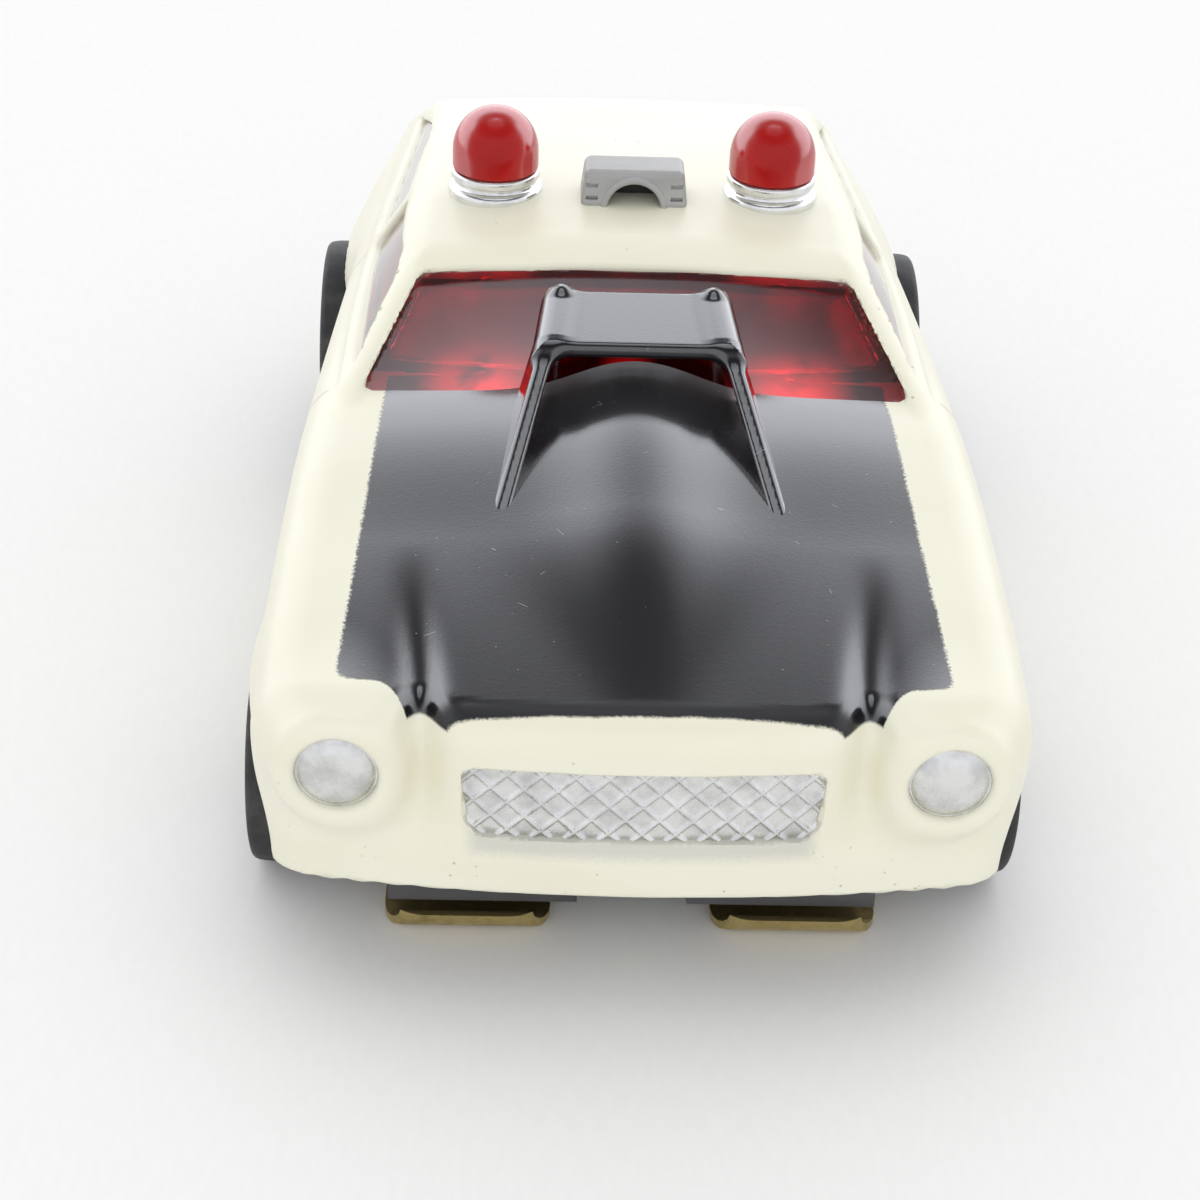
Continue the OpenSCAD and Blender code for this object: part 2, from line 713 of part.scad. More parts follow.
// Recesses in the nose for the lamps and the grille
lamp_seat = 0.9;
grille_seat = 0.7;
grille_r = 0.7;
module rounded_plate(w, h, r, t) {
    linear_extrude(t)
        union() {
            square([w - 2 * r, h], center = true);
            square([w, h - 2 * r], center = true);
            for (x = [-1, 1], z = [-1, 1])
                translate([x * (w / 2 - r), z * (h / 2 - r)]) circle(r);
        }
}
module lamp_recess(side) {
    translate([side * lamp_x, y_nose - lap, lamp_z])
        rotate([-90, 0, 0])
            cylinder(d = lamp_d + 2 * lens_gap, h = lap + pod_front + lamp_seat);
}
module grille_recess() {
    translate([0, y_nose + grille_seat, grille_z])
        rotate([90, 0, 0])
            rounded_plate(grille_w + 2 * lens_gap, grille_h + 2 * lens_gap, grille_r, grille_seat + lap);
}

// Shelves inside the shell that rest on the chassis
shelf_half_w = 3;
shelf_t = 1;
rear_shelf_y = rear_axle_y + drive_r + gear_m + part_gap;
module shelves() {
    intersection() {
        union() {
            block(-shelf_half_w, shelf_half_w, y_nose, guide_y + guide_r,
                front_seat_z, front_seat_z + shelf_t);
            block(-shelf_half_w, shelf_half_w, rear_shelf_y, y_tail,
                rear_seat_z, rear_seat_z + shelf_t);
        }
        loft(body_rings(shell_wall / 2, undef));
    }
}

// Roof surface height near the roof lights, and the seats cut into it
function roof_z(x, y) =
    along(y, roof_line) + roof_crown * (1 - (min(1, abs(x) / roof_half_w)) ^ 2);
beacon_sink = 0.35;
siren_sink = 0.2;
siren_lead = 0.9;
peg_len = shell_wall + beacon_sink + siren_sink;
beacon_seat_z = roof_z(beacon_x, beacon_y) - beacon_sink;
siren_y = beacon_y - siren_lead;
siren_seat_z = roof_z(0, siren_y) - siren_sink;
module peg_hole(x, y, z) {
    translate([x, y, z - 2 * peg_len]) cylinder(d = peg_d + 2 * lens_gap, h = 3 * peg_len);
}
module peg_holes() {
    peg_hole(-beacon_x, beacon_y, beacon_seat_z);
    peg_hole(beacon_x, beacon_y, beacon_seat_z);
    peg_hole(0, siren_y, siren_seat_z);
}

// Everything cut out of the shell
module shell_cuts() {
    siren_half_w = siren_w / 2 + lens_gap;
    siren_half_len = siren_len / 2 + lens_gap;
    for (side = [-1, 1]) {
        arch(front_axle_y, front_axle_z, front_tyre_d, side, front_arch_x);
        arch(rear_axle_y, rear_axle_z, rear_tyre_d, side, rear_arch_x);
        lamp_recess(side);
        translate([side * beacon_x, beacon_y, beacon_seat_z])
            cylinder(d = beacon_base_d + 2 * lens_gap, h = beacon_base_h);
    }
    grille_recess();
    peg_holes();
    block(-siren_half_w, siren_half_w, siren_y - siren_half_len, siren_y + siren_half_len,
        siren_seat_z, siren_seat_z + siren_h);
}

// Ivory moulding: lower body, greenhouse with its window openings, shelves and scoop
module body_shell() {
    color("ivory")
        difference() {
            union() {
                difference() {
                    union() {
                        difference() {
                            greenhouse(0);
                            openings(0);
                        }
                        loft(body_rings(0, undef));
                        pod(-1);
                        pod(1);
                    }
                    loft(body_rings(shell_wall, -1));
                    greenhouse(shell_wall);
                }
                shelves();
                scoop_fin(-1);
                scoop_fin(1);
                scoop_top();
            }
            shell_cuts();
        }
}

// Red insert: a thin hood under the roof with raised panes in the openings
pane_set_in = 0.3;
insert_drop = 1;
module window_glass() {
    inner = shell_wall + glass_gap;
    color("firebrick", 0.7)
        difference() {
            union() {
                greenhouse(inner);
                difference() {
                    intersection() {
                        greenhouse(pane_set_in);
                        openings(-glass_gap);
                    }
                    loft(body_rings(-glass_gap, undef));
                }
            }
            greenhouse(inner + glass_t);
            block(-big, big, -big, big, -big, cowl_edge_z - insert_drop);
            peg_holes();
        }
}

// Silver lattice plate
lattice_rise = 0.3;
module grille() {
    pitch = grille_w / grille_diamonds;
    plate = grille_seat - lens_gap - lattice_rise;
    color("silver")
        translate([0, y_nose + grille_seat - lens_gap, grille_z])
            rotate([90, 0, 0]) {
                rounded_plate(grille_w, grille_h, grille_r, plate);
                linear_extrude(plate + lattice_rise)
                    intersection() {
                        square([grille_w - 2 * lattice_w, grille_h - lattice_w], center = true);
                        for (i = [-grille_diamonds : grille_diamonds], tilt = [-45, 45])
                            translate([i * pitch, 0])
                                rotate(tilt)
                                    square([lattice_w, 3 * grille_h], center = true);
                    }
            }
}

// Silver lens: a thin rim and a shallow dome
lens_rim = 0.35;
lens_step = 0.15;
lens_ball_share = 0.62;
module headlight(side) {
    ball_r = lamp_d * lens_ball_share;
    dome_half = lamp_d / 2 - lens_step;
    drop = sqrt(ball_r ^ 2 - dome_half ^ 2);
    color("silver")
        translate([side * lamp_x, y_nose + pod_front + lamp_seat - lens_gap, lamp_z])
            rotate([90, 0, 0]) {
                cylinder(d = lamp_d, h = lens_rim);
                intersection() {
                    translate([0, 0, lens_rim - drop]) sphere(r = ball_r);
                    cylinder(r = dome_half, h = lamp_d);
                }
            }
}
module headlight_left() { headlight(-1); }
module headlight_right() { headlight(1); }

// Chrome base with a foot flange, a peg through the roof and a socket for its dome
flange_h = 0.75;
flange_step = 0.35;
plug_h = 0.5;
plug_step = 0.4;
module beacon_base(side) {
    color("lightgray")
        translate([side * beacon_x, beacon_y, beacon_seat_z])
            difference() {
                union() {
                    cylinder(d = beacon_base_d, h = flange_h);
                    cylinder(d = beacon_base_d - flange_step, h = beacon_base_h);
                    translate([0, 0, -peg_len]) cylinder(d = peg_d, h = peg_len + lap);
                }
                translate([0, 0, beacon_base_h - plug_h])
                    cylinder(d = dome_d - 2 * plug_step, h = beacon_base_h);
            }
}
module beacon_base_left() { beacon_base(-1); }
module beacon_base_right() { beacon_base(1); }

// Red dome that plugs into its base
dome_wall = 0.55;
module beacon_dome(side) {
    r = dome_d / 2;
    plug_r = r - plug_step - lens_gap;
    hollow_r = plug_r - dome_wall;
    color("red", 0.8)
        translate([side * beacon_x, beacon_y, beacon_seat_z + beacon_base_h])
            difference() {
                union() {
                    cylinder(r = r, h = dome_h - r);
                    intersection() {
                        translate([0, 0, dome_h - r]) sphere(r = r);
                        cylinder(r = r, h = dome_h);
                    }
                    translate([0, 0, lens_gap - plug_h]) cylinder(r = plug_r, h = plug_h);
                }
                translate([0, 0, -2 * plug_h]) cylinder(r = hollow_r, h = 2 * plug_h + dome_h - r);
                translate([0, 0, dome_h - r]) sphere(r = hollow_r);
            }
}
module beacon_dome_left() { beacon_dome(-1); }
module beacon_dome_right() { beacon_dome(1); }

// Box siren with a half-round horn mouth in front
mouth_share = 0.62;
mouth_depth = 0.6;
mouth_sill = 0.35;
siren_edge_r = 0.4;
module siren() {
    color("gray")
        translate([0, siren_y, siren_seat_z])
            difference() {
                union() {
                    rotate([90, 0, 0])
                        translate([0, siren_h / 2, -siren_len / 2])
                            rounded_plate(siren_w, siren_h, siren_edge_r, siren_len);
                    translate([0, 0, -peg_len]) cylinder(d = peg_d, h = peg_len + lap);
                }
                intersection() {
                    translate([0, -siren_len / 2 - lap, mouth_sill])
                        rotate([-90, 0, 0])
                            cylinder(r = siren_h * mouth_share, h = siren_len * mouth_depth);
                    block(-siren_w, siren_w, -siren_len, siren_len, mouth_sill, siren_h);
                }
            }
}

// Dark moulded frame: floor, motor tub, bearings, shoe hangers and guide socket
hanger_t = 0.8;
hanger_half = 0.8;
hanger_drop = 0.7;
eye_w = 4;
post_w = 1.7;
post_len = 3.2;
post_cap = 0.9;
front_post_x = chassis_w / 2 - post_w / 2;
bay_wall = 1;
boss_drop = 0.6;
boss_wall = 0.7;
cup_wall = 0.6;
cup_room = 0.25;
notch_back = 0.7;
cup_r = (spring_d + wire_d) / 2 + cup_room;
module frame_solid() {
    half = chassis_w / 2;
    block(-half, half, chassis_front_y, bay_front_y - bay_wall, floor_z, floor_top);
    block(-tub_out, tub_out, bay_front_y - bay_wall - lap, chassis_rear_y, floor_z, floor_top);
    block(-half, half, chassis_front_y, chassis_front_y + nose_plate_t, nose_plate_z, floor_top);
    translate([0, guide_y, guide_mouth_z]) cylinder(r = guide_r, h = front_seat_z - guide_mouth_z);
    block(-tub_out, tub_out, tub_rear_y, chassis_rear_y, floor_z, rear_seat_z);
    block(-tub_out, tub_out, tub_front_y, tub_front_y + tub_wall - lap, floor_z, plate_z);
    translate([0, motor_y, floor_z - boss_drop]) cylinder(d = shaft_d + 2 * boss_wall, h = boss_drop + lap);
    both_sides() {
        block(tub_half_w, tub_out, tub_front_y, chassis_rear_y, floor_z, plate_z);
        block(front_post_x - post_w / 2, front_post_x + post_w / 2, front_axle_y - post_len / 2,
            front_axle_y + post_len / 2, floor_z, front_axle_z + axle_d / 2 + post_cap);
        translate([shoe_x, spring_y, floor_z])
            cylinder(r = cup_r + cup_wall, h = spring_high_z + cup_wall - floor_z);
        for (x = [shoe_x - eye_w / 2 - part_gap - hanger_t, shoe_x + eye_w / 2 + part_gap])
            block(x, x + hanger_t, shoe_pivot_y - hanger_half, shoe_pivot_y + hanger_half,
                pivot_z - hanger_drop, floor_top);
        translate([shoe_x, shoe_pivot_y, pivot_z])
            rotate([0, 90, 0])
                cylinder(d = pivot_d, h = eye_w + 2 * part_gap + lap, center = true);
    }
}
module axle_bore(y, z) {
    translate([0, y, z])
        rotate([0, 90, 0])
            cylinder(d = axle_d + 2 * run_gap, h = big, center = true);
}
module chassis_frame() {
    color("dimgray")
        difference() {
            frame_solid();
            block(-notch_w / 2, notch_w / 2, chassis_front_y - lap,
                chassis_front_y + nose_plate_t - notch_back, 0, floor_z);
            block(-tub_half_w, tub_half_w, bay_front_y, tub_rear_y, 0, floor_top + lap);
            translate([0, guide_y, 0]) cylinder(d = guide_bore_d, h = guide_mouth_z + guide_bore_len);
            translate([0, motor_y, 0]) cylinder(d = shaft_d + 2 * run_gap, h = big);
            axle_bore(front_axle_y, front_axle_z);
            axle_bore(rear_axle_y, rear_axle_z);
            both_sides() {
                translate([brush_x, motor_y, 0]) cylinder(d = brush_d + 2 * run_gap, h = floor_top + lap);
                translate([shoe_x, spring_y, 0]) cylinder(r = cup_r, h = spring_high_z);
            }
        }
}

// Plate over the motor with the idler's post
idler_post_d = 1.8;
idler_collar = 0.6;
post_rise = 0.3;
plate_back = 3;
module gear_plate() {
    color("gainsboro")
        difference() {
            union() {
                block(-tub_out, tub_out, tub_front_y, rear_axle_y + plate_back, plate_z, plate_top);
                translate([0, idler_y, plate_z]) {
                    cylinder(d = idler_post_d, h = gear_top - plate_z + post_rise);
                    cylinder(d = idler_post_d + 2 * idler_collar, h = plate_t + part_gap - run_gap);
                }
            }
            for (y = [motor_y, rear_axle_y])
                translate([0, y, plate_z - lap]) cylinder(d = shaft_d + 2 * run_gap, h = plate_t + 2 * lap);
        }
}

// Spring-steel clip that holds the plate down
clip_t = 0.35;
clip_w = 1.6;
clip_leg = 5;
clip_back = 0.4;
clip_y = magnet_front_y + clip_back;
module gear_plate_clip() {
    color("silver")
        translate([0, clip_y, 0]) {
            block(-tub_out - clip_t, tub_out + clip_t, 0, clip_w, plate_top, plate_top + clip_t);
            both_sides()
                block(tub_out, tub_out + clip_t, 0, clip_w, plate_top - clip_leg, plate_top + clip_t);
        }
}

// Magnets hollowed to the armature's curve
module magnet(y0, y1) {
    color("darkslategray")
        difference() {
            block(-tub_half_w + part_gap, tub_half_w - part_gap, y0, y1, floor_top, plate_z - part_gap);
            translate([0, motor_y, floor_z]) cylinder(r = well_r, h = big);
        }
}
magnet_lap = 2;
module magnet_front() { magnet(magnet_front_y, magnet_front_y + magnet_len + magnet_lap); }
module magnet_rear() { magnet(magnet_rear_y - magnet_len - magnet_lap, magnet_rear_y); }

// Carbon brushes on their copper strips
strip_t = 0.3;
strip_w = 1.7;
strip_room = 1.3;
module brush(side) {
    color("dimgray")
        translate([side * brush_x, motor_y, floor_z])
            cylinder(d = brush_d, h = comm_z - floor_z - brush_gap);
}
module brush_left() { brush(-1); }
module brush_right() { brush(1); }
module contact_strip(side) {
    start_y = shoe_pivot_y + strip_room;
    color("peru")
        translate([0, 0, floor_z - strip_t])
            linear_extrude(strip_t)
                scale([side, 1])
                    union() {
                        translate([shoe_x - strip_w, start_y]) square([2 * strip_w, strip_w]);
                        translate([brush_x - strip_w / 2, start_y]) square([shoe_x - brush_x, strip_w]);
                        translate([brush_x - strip_w / 2, start_y])
                            square([strip_w, motor_y + brush_d / 2 - start_y]);
                    }
}
module contact_strip_left() { contact_strip(-1); }
module contact_strip_right() { contact_strip(1); }

// Three-pole armature
poles = 3;
arm_w = 2;
hub_d = 3.2;
shoe_depth = 1;
pole_arc = 84;
pole_turn = 30;
coil_start = 0.25;
coil_end = 0.1;
coil_side = 0.6;
module each_pole() {
    for (i = [0 : poles - 1])
        translate([0, motor_y, 0]) rotate(pole_turn + 360 * i / poles) children();
}
module core_shape() {
    reach = 2 * armature_r;
    spread = reach * tan(pole_arc / 2);
    difference() {
        union() {
            circle(d = hub_d);
            for (i = [0 : poles - 1])
                rotate(pole_turn + 360 * i / poles) {
                    translate([0, -arm_w / 2]) square([armature_r - shoe_depth / 2, arm_w]);
                    intersection() {
                        difference() {
                            circle(r = armature_r);
                            circle(r = armature_r - shoe_depth);
                        }
                        polygon([[0, 0], [reach, -spread], [reach, spread]]);
                    }
                }
        }
        circle(d = shaft_d + 2 * press_gap);
    }
}
module armature_core() {
    color("gray")
        translate([0, motor_y, core_z]) linear_extrude(core_h) core_shape();
}
// Copper coils round the three arms
module armature_windings() {
    start = hub_d / 2 + coil_start;
    half = arm_w / 2 + coil_side;
    end = sqrt((armature_r - shoe_depth) ^ 2 - half ^ 2) - coil_end;
    color("chocolate")
        each_pole()
            difference() {
                block(start, end, -half, half, core_z - winding_grow,
                    core_z + core_h + winding_grow);
                block(start - lap, end + lap, -arm_w / 2 - press_gap, arm_w / 2 + press_gap,
                    core_z - press_gap, core_z + core_h + press_gap);
            }
}
// Copper segments under the armature
segment_gap = 0.35;
segment_start = 1.2;
comm_edge = 0.2;
module commutator() {
    outer_r = brush_x + brush_d / 2 + comm_edge;
    color("peru")
        translate([0, motor_y, comm_z])
            difference() {
                cylinder(r = outer_r, h = comm_t);
                translate([0, 0, -lap]) cylinder(d = shaft_d + 2 * press_gap, h = comm_t + 2 * lap);
                for (i = [0 : poles - 1])
                    rotate(90 + 360 * i / poles)
                        translate([segment_start, -segment_gap / 2, -lap])
                            cube([outer_r, segment_gap, comm_t / 2 + lap]);
            }
}
shaft_drop = 0.5;
shaft_rise = 0.4;
module armature_shaft() {
    color("silver")
        translate([0, motor_y, floor_z - shaft_drop])
            cylinder(d = shaft_d, h = gear_top + shaft_rise - floor_z + shaft_drop);
}

// Involute tooth flank: half angle of a tooth at radius r
pressure = 20;
function inv(a) = tan(a) * 180 / PI - a;
function tooth_half(teeth, r) =
    let (pr = gear_m * teeth / 2, base = pr * cos(pressure))
    90 / teeth - backlash / 2 / pr * 180 / PI + inv(pressure) - inv(acos(min(1, base / max(r, base))));
tooth_out = 0.9;
tooth_in = 1.2;
module gear_shape(teeth, phase) {
    pr = gear_m * teeth / 2;
    radii = [pr - tooth_in * gear_m, pr - gear_m / 2, pr, pr + gear_m / 2, pr + tooth_out * gear_m];
    last = len(radii) - 1;
    polygon([for (t = [0 : teeth - 1], s = [-1, 1], k = [0 : last])
        let (r = s < 0 ? radii[k] : radii[last - k], a = phase + 360 * t / teeth + s * tooth_half(teeth, r))
        [r * cos(a), r * sin(a)]]);
}
module spur_gear(teeth, phase, bore) {
    linear_extrude(gear_face)
        difference() {
            gear_shape(teeth, phase);
            circle(d = bore);
        }
}
// Gears in mesh at rest: a tooth of one faces a gap of the next
idler_phase = 90 + 180 / idler_teeth;
module armature_pinion() {
    color("gold")
        translate([0, motor_y, gear_z]) spur_gear(motor_teeth, 90, shaft_d + 2 * press_gap);
}
module idler_gear() {
    color("white")
        translate([0, idler_y, gear_z]) spur_gear(idler_teeth, idler_phase, idler_post_d + 2 * run_gap);
}
module drive_gear() {
    color("white")
        translate([0, rear_axle_y, gear_z]) spur_gear(drive_teeth, -90, shaft_d + 2 * press_gap);
}
// Drive shaft with the pinion that turns the crown gear
pinion_face = 2 * crown_half + 2 * part_gap;
module drive_pinion() {
    color("gold")
        translate([0, rear_axle_y, 0]) {
            translate([0, 0, pinion_z]) linear_extrude(pinion_face) gear_shape(pinion_teeth, 0);
            translate([0, 0, pinion_z]) cylinder(d = shaft_d, h = gear_top + shaft_rise - pinion_z);
        }
}
// Crown gear with its teeth on the side that faces the pinion
crown_disc = 1.1;
crown_hub_d = 3.2;
crown_hub = 1.6;
module crown_gear() {
    tip_x = pinion_r - tooth_out * gear_m;
    root_x = pinion_r + tooth_in * gear_m;
    thick = PI * gear_m / 2 - backlash;
    lean = gear_m * tan(pressure);
    color("gold")
        translate([0, rear_axle_y, rear_axle_z])
            difference() {
                union() {
                    rotate([0, 90, 0]) {
                        translate([0, 0, root_x]) cylinder(r = crown_r + crown_half, h = crown_disc);
                        translate([0, 0, root_x]) cylinder(d = crown_hub_d, h = crown_disc + crown_hub);
                    }
                    for (i = [0 : crown_teeth - 1])
                        rotate([(i + 0.5) * 360 / crown_teeth, 0, 0])
                            translate([0, 0, crown_r - crown_half])
                                linear_extrude(2 * crown_half)
                                    polygon([
                                        [root_x + lap, -thick / 2 - lean], [root_x + lap, thick / 2 + lean],
                                        [tip_x, thick / 2 - lean], [tip_x, -thick / 2 + lean]
                                    ]);
                }
                rotate([0, 90, 0]) cylinder(d = axle_d + 2 * press_gap, h = big, center = true);
            }
}

// Axles, rims and tyres
axle_set_in = 0.8;
module axle(y, z, over_w) {
    color("silver")
        translate([0, y, z])
            rotate([0, 90, 0])
                cylinder(d = axle_d, h = over_w - 2 * axle_set_in, center = true);
}
module rear_axle() { axle(rear_axle_y, rear_axle_z, rear_over_w); }
module front_axle() { axle(front_axle_y, front_axle_z, front_over_w); }

// Rim with a dished face, five holes and a hub that reaches in to the bearing
rim_holes = 5;
rim_dish = 0.9;
rim_face_t = 0.9;
rim_lip = 0.55;
rim_set_in = 0.2;
hub_wall = 0.7;
hole_most_d = 1.1;
hole_wall = 0.15;
module rim(side, y, z, d, w, outer_x, hub_x) {
    r = d / 2;
    hub_r = axle_d / 2 + hub_wall;
    hole_ring = (hub_r + r - rim_lip) / 2;
    hole_d = min(hole_most_d, r - rim_lip - hub_r - 2 * hole_wall);
    width = w - 2 * rim_set_in;
    face_z = width - rim_dish - rim_face_t;
    color("silver")
        translate([side * outer_x, y, z])
            rotate([0, side * 90, 0])
                translate([0, 0, rim_set_in - w])
                    difference() {
                        union() {
                            rotate_extrude()
                                polygon([[r - rim_lip, 0], [r, 0], [r, width], [r - rim_lip, width]]);
                            translate([0, 0, face_z]) cylinder(r = r - rim_lip / 2, h = rim_face_t);
                            translate([0, 0, hub_x - outer_x + w - rim_set_in])
                                cylinder(r = hub_r, h = outer_x - hub_x - rim_dish);
                        }
                        translate([0, 0, -big / 2]) cylinder(d = axle_d + 2 * press_gap, h = big);
                        for (i = [0 : rim_holes - 1])
                            rotate(90 + 360 * i / rim_holes)
                                translate([hole_ring, 0, face_z - lap])
                                    cylinder(d = hole_d, h = rim_face_t + 2 * lap);
                    }
}
// Tyre with round shoulders
tyre_round = 0.6;
bead_w = 0.5;
module tyre(side, y, z, d, w, rim_d, outer_x) {
    r = d / 2;
    in = rim_d / 2 + press_gap;
    arc = [for (a = [90 : -30 : 0]) [r + tyre_round * (cos(a) - 1), tyre_round * (1 - sin(a))]];
    half = concat([[in, tyre_round / 2], [in + bead_w, 0]], arc);
    all = concat(half, [for (i = [len(half) - 1 : -1 : 0]) [half[i][0], w - half[i][1]]]);
    color("black")
        translate([side * outer_x, y, z])
            rotate([0, side * 90, 0])
                translate([0, 0, -w])
                    rotate_extrude() polygon(all);
}
rear_hub_x = tub_out + part_gap;
front_hub_x = front_post_x + post_w / 2 + part_gap;
module rear_rim(side) {
    rim(side, rear_axle_y, rear_axle_z, rear_rim_d, rear_tyre_w, rear_over_w / 2, rear_hub_x);
}
module front_rim(side) {
    rim(side, front_axle_y, front_axle_z, front_rim_d, front_tyre_w, front_over_w / 2, front_hub_x);
}
module rear_tyre(side) {
    tyre(side, rear_axle_y, rear_axle_z, rear_tyre_d, rear_tyre_w, rear_rim_d, rear_over_w / 2);
}
module front_tyre(side) {
    tyre(side, front_axle_y, front_axle_z, front_tyre_d, front_tyre_w, front_rim_d, front_over_w / 2);
}
module rear_rim_left() { rear_rim(-1); }
module rear_rim_right() { rear_rim(1); }
module rear_tyre_left() { rear_tyre(-1); }
module rear_tyre_right() { rear_tyre(1); }
module front_rim_left() { front_rim(-1); }
module front_rim_right() { front_rim(1); }
module front_tyre_left() { front_tyre(-1); }
module front_tyre_right() { front_tyre(1); }

// Pickup shoe: a bent strip with an upturned, rounded front end and an eye on the pivot pin
shoe_end_r = 1.1;
shoe_corner_r = 1.8;
shoe_ramp = 5;
eye_wall = 0.25;
eye_room = 2.2;
turn_angles = [0, 22.5, 45, 67.5];
eye_d = pivot_d + 2 * run_gap + 2 * eye_wall;
function turn_point(r, a) =
    [shoe_front_y + shoe_end_r - r * cos(a), shoe_clear + shoe_end_r - r * sin(a)];
module shoe_profile() {
    flat_end = shoe_pivot_y - shoe_ramp;
    eye_low = pivot_z - eye_d / 2;
    last = len(turn_angles) - 1;
    polygon(concat(
        [for (a = turn_angles) turn_point(shoe_end_r, a)],
        [[shoe_front_y + shoe_end_r, shoe_clear], [flat_end, shoe_clear], [shoe_pivot_y, eye_low],
            [shoe_pivot_y, eye_low + shoe_t], [flat_end, shoe_clear + shoe_t],
            [shoe_front_y + shoe_end_r, shoe_clear + shoe_t]],
        [for (i = [last : -1 : 0]) turn_point(shoe_end_r - shoe_t, turn_angles[i])]
    ));
}
module shoe_plan() {
    near = shoe_front_y + shoe_corner_r;
    hull() {
        both_sides() translate([shoe_w / 2 - shoe_corner_r, near]) circle(r = shoe_corner_r);
        translate([-shoe_w / 2, near]) square([shoe_w, shoe_len + eye_room]);
    }
}
module along_x(w) {
    rotate([90, 0, 90]) translate([0, 0, -w / 2]) linear_extrude(w) children();
}
module pickup_shoe(side) {
    color("darkgoldenrod")
        translate([side * shoe_x, 0, 0])
            difference() {
                union() {
                    difference() {
                        intersection() {
                            along_x(shoe_w) shoe_profile();
                            linear_extrude(floor_z) shoe_plan();
                        }
                        both_sides()
                            block(eye_w / 2, shoe_w, shoe_pivot_y - eye_room,
                                shoe_pivot_y + eye_room, 0, floor_z);
                    }
                    translate([-eye_w / 2, shoe_pivot_y, pivot_z])
                        rotate([0, 90, 0]) cylinder(d = eye_d, h = eye_w);
                }
                translate([0, shoe_pivot_y, pivot_z])
                    rotate([0, 90, 0]) cylinder(d = pivot_d + 2 * run_gap, h = big, center = true);
            }
}
module pickup_shoe_left() { pickup_shoe(-1); }
module pickup_shoe_right() { pickup_shoe(1); }

// Coil spring between shoe and chassis, one unbroken tube
curl_rings = 8;
wire_sides = 6;
spring_rings = round(spring_curls * curl_rings);
spring_rise = spring_high_z - spring_low_z - wire_d - 2 * run_gap;
function coil_point(i) =
    let (a = 360 * i / curl_rings)
    [spring_d / 2 * cos(a), spring_d / 2 * sin(a),
        spring_low_z + run_gap + wire_d / 2 + spring_rise * i / spring_rings];
function coil_ring(i) =
    let (c = coil_point(i), a = 360 * i / curl_rings)
    [for (k = [0 : wire_sides - 1])
        let (b = 360 * k / wire_sides, out = wire_d / 2 * cos(b))
        c + [out * cos(a), out * sin(a), wire_d / 2 * sin(b)]];
// Least gap between wire points that lie more than half a curl apart
coil_rings = [for (i = [0 : spring_rings]) coil_ring(i)];
least_gap = min([for (i = [0 : spring_rings], j = [i + curl_rings / 2 + 1 : spring_rings])
    min([for (p = coil_rings[i], q = coil_rings[j]) norm(p - q)])]);
module shoe_spring(side) {
    color("silver")
        translate([side * shoe_x, spring_y, 0])
            loft(coil_rings);
}
module shoe_spring_left() { shoe_spring(-1); }
module shoe_spring_right() { shoe_spring(1); }
echo(least_spring_gap = least_gap);

body_shell();
window_glass();
grille();
headlight_left();
headlight_right();
beacon_base_left();
beacon_base_right();
beacon_dome_left();
beacon_dome_right();
siren();
chassis_frame();
gear_plate();
gear_plate_clip();
magnet_front();
magnet_rear();
brush_left();
brush_right();
contact_strip_left();
contact_strip_right();
armature_core();
armature_windings();
commutator();
armature_shaft();
armature_pinion();
idler_gear();
drive_gear();
drive_pinion();
crown_gear();
rear_axle();
rear_rim_left();
rear_rim_right();
rear_tyre_left();
rear_tyre_right();
front_axle();
front_rim_left();
front_rim_right();
front_tyre_left();
front_tyre_right();
pickup_shoe_left();
pickup_shoe_right();
shoe_spring_left();
shoe_spring_right();
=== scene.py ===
"""Dresses the slot-racing police wagon: moulded shell, roof lights, wheels, motor and pickup shoes."""
from __future__ import annotations

import json
import logging
import math
from dataclasses import dataclass
from enum import Enum
from typing import Callable, Iterable

import bpy
import numpy as np
from mathutils import Matrix, Vector

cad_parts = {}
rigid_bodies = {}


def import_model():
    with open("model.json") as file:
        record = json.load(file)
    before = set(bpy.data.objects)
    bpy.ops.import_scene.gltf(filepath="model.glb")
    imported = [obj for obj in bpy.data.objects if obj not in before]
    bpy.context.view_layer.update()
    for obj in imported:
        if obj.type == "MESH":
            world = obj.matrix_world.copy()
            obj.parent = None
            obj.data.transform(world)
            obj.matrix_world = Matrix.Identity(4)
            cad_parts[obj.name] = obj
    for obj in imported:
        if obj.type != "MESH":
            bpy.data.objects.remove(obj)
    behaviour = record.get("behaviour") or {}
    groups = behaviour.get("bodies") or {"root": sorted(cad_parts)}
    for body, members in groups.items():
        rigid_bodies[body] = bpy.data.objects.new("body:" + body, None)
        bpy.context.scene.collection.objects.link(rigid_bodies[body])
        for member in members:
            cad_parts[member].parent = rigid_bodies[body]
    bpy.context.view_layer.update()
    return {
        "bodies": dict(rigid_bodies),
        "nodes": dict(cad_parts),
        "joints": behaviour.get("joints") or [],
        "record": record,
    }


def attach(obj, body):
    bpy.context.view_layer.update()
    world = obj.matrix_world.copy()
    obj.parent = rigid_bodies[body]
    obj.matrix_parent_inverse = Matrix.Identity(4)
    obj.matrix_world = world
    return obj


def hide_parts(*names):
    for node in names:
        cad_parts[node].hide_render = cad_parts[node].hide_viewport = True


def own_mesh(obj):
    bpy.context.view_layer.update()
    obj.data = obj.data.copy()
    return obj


log = logging.getLogger("police_wagon")
MM = 0.001
Array = np.ndarray
Colour = tuple[float, float, float]
Stations = tuple[tuple[float, float], ...]
Place = tuple[float, float, float]
Box = tuple[Place, Place]
Field = Callable[[Array, Array, Array], Array]
# Inputs of a Mix node that take its two colours
COLOUR_ENDS = (6, 7)


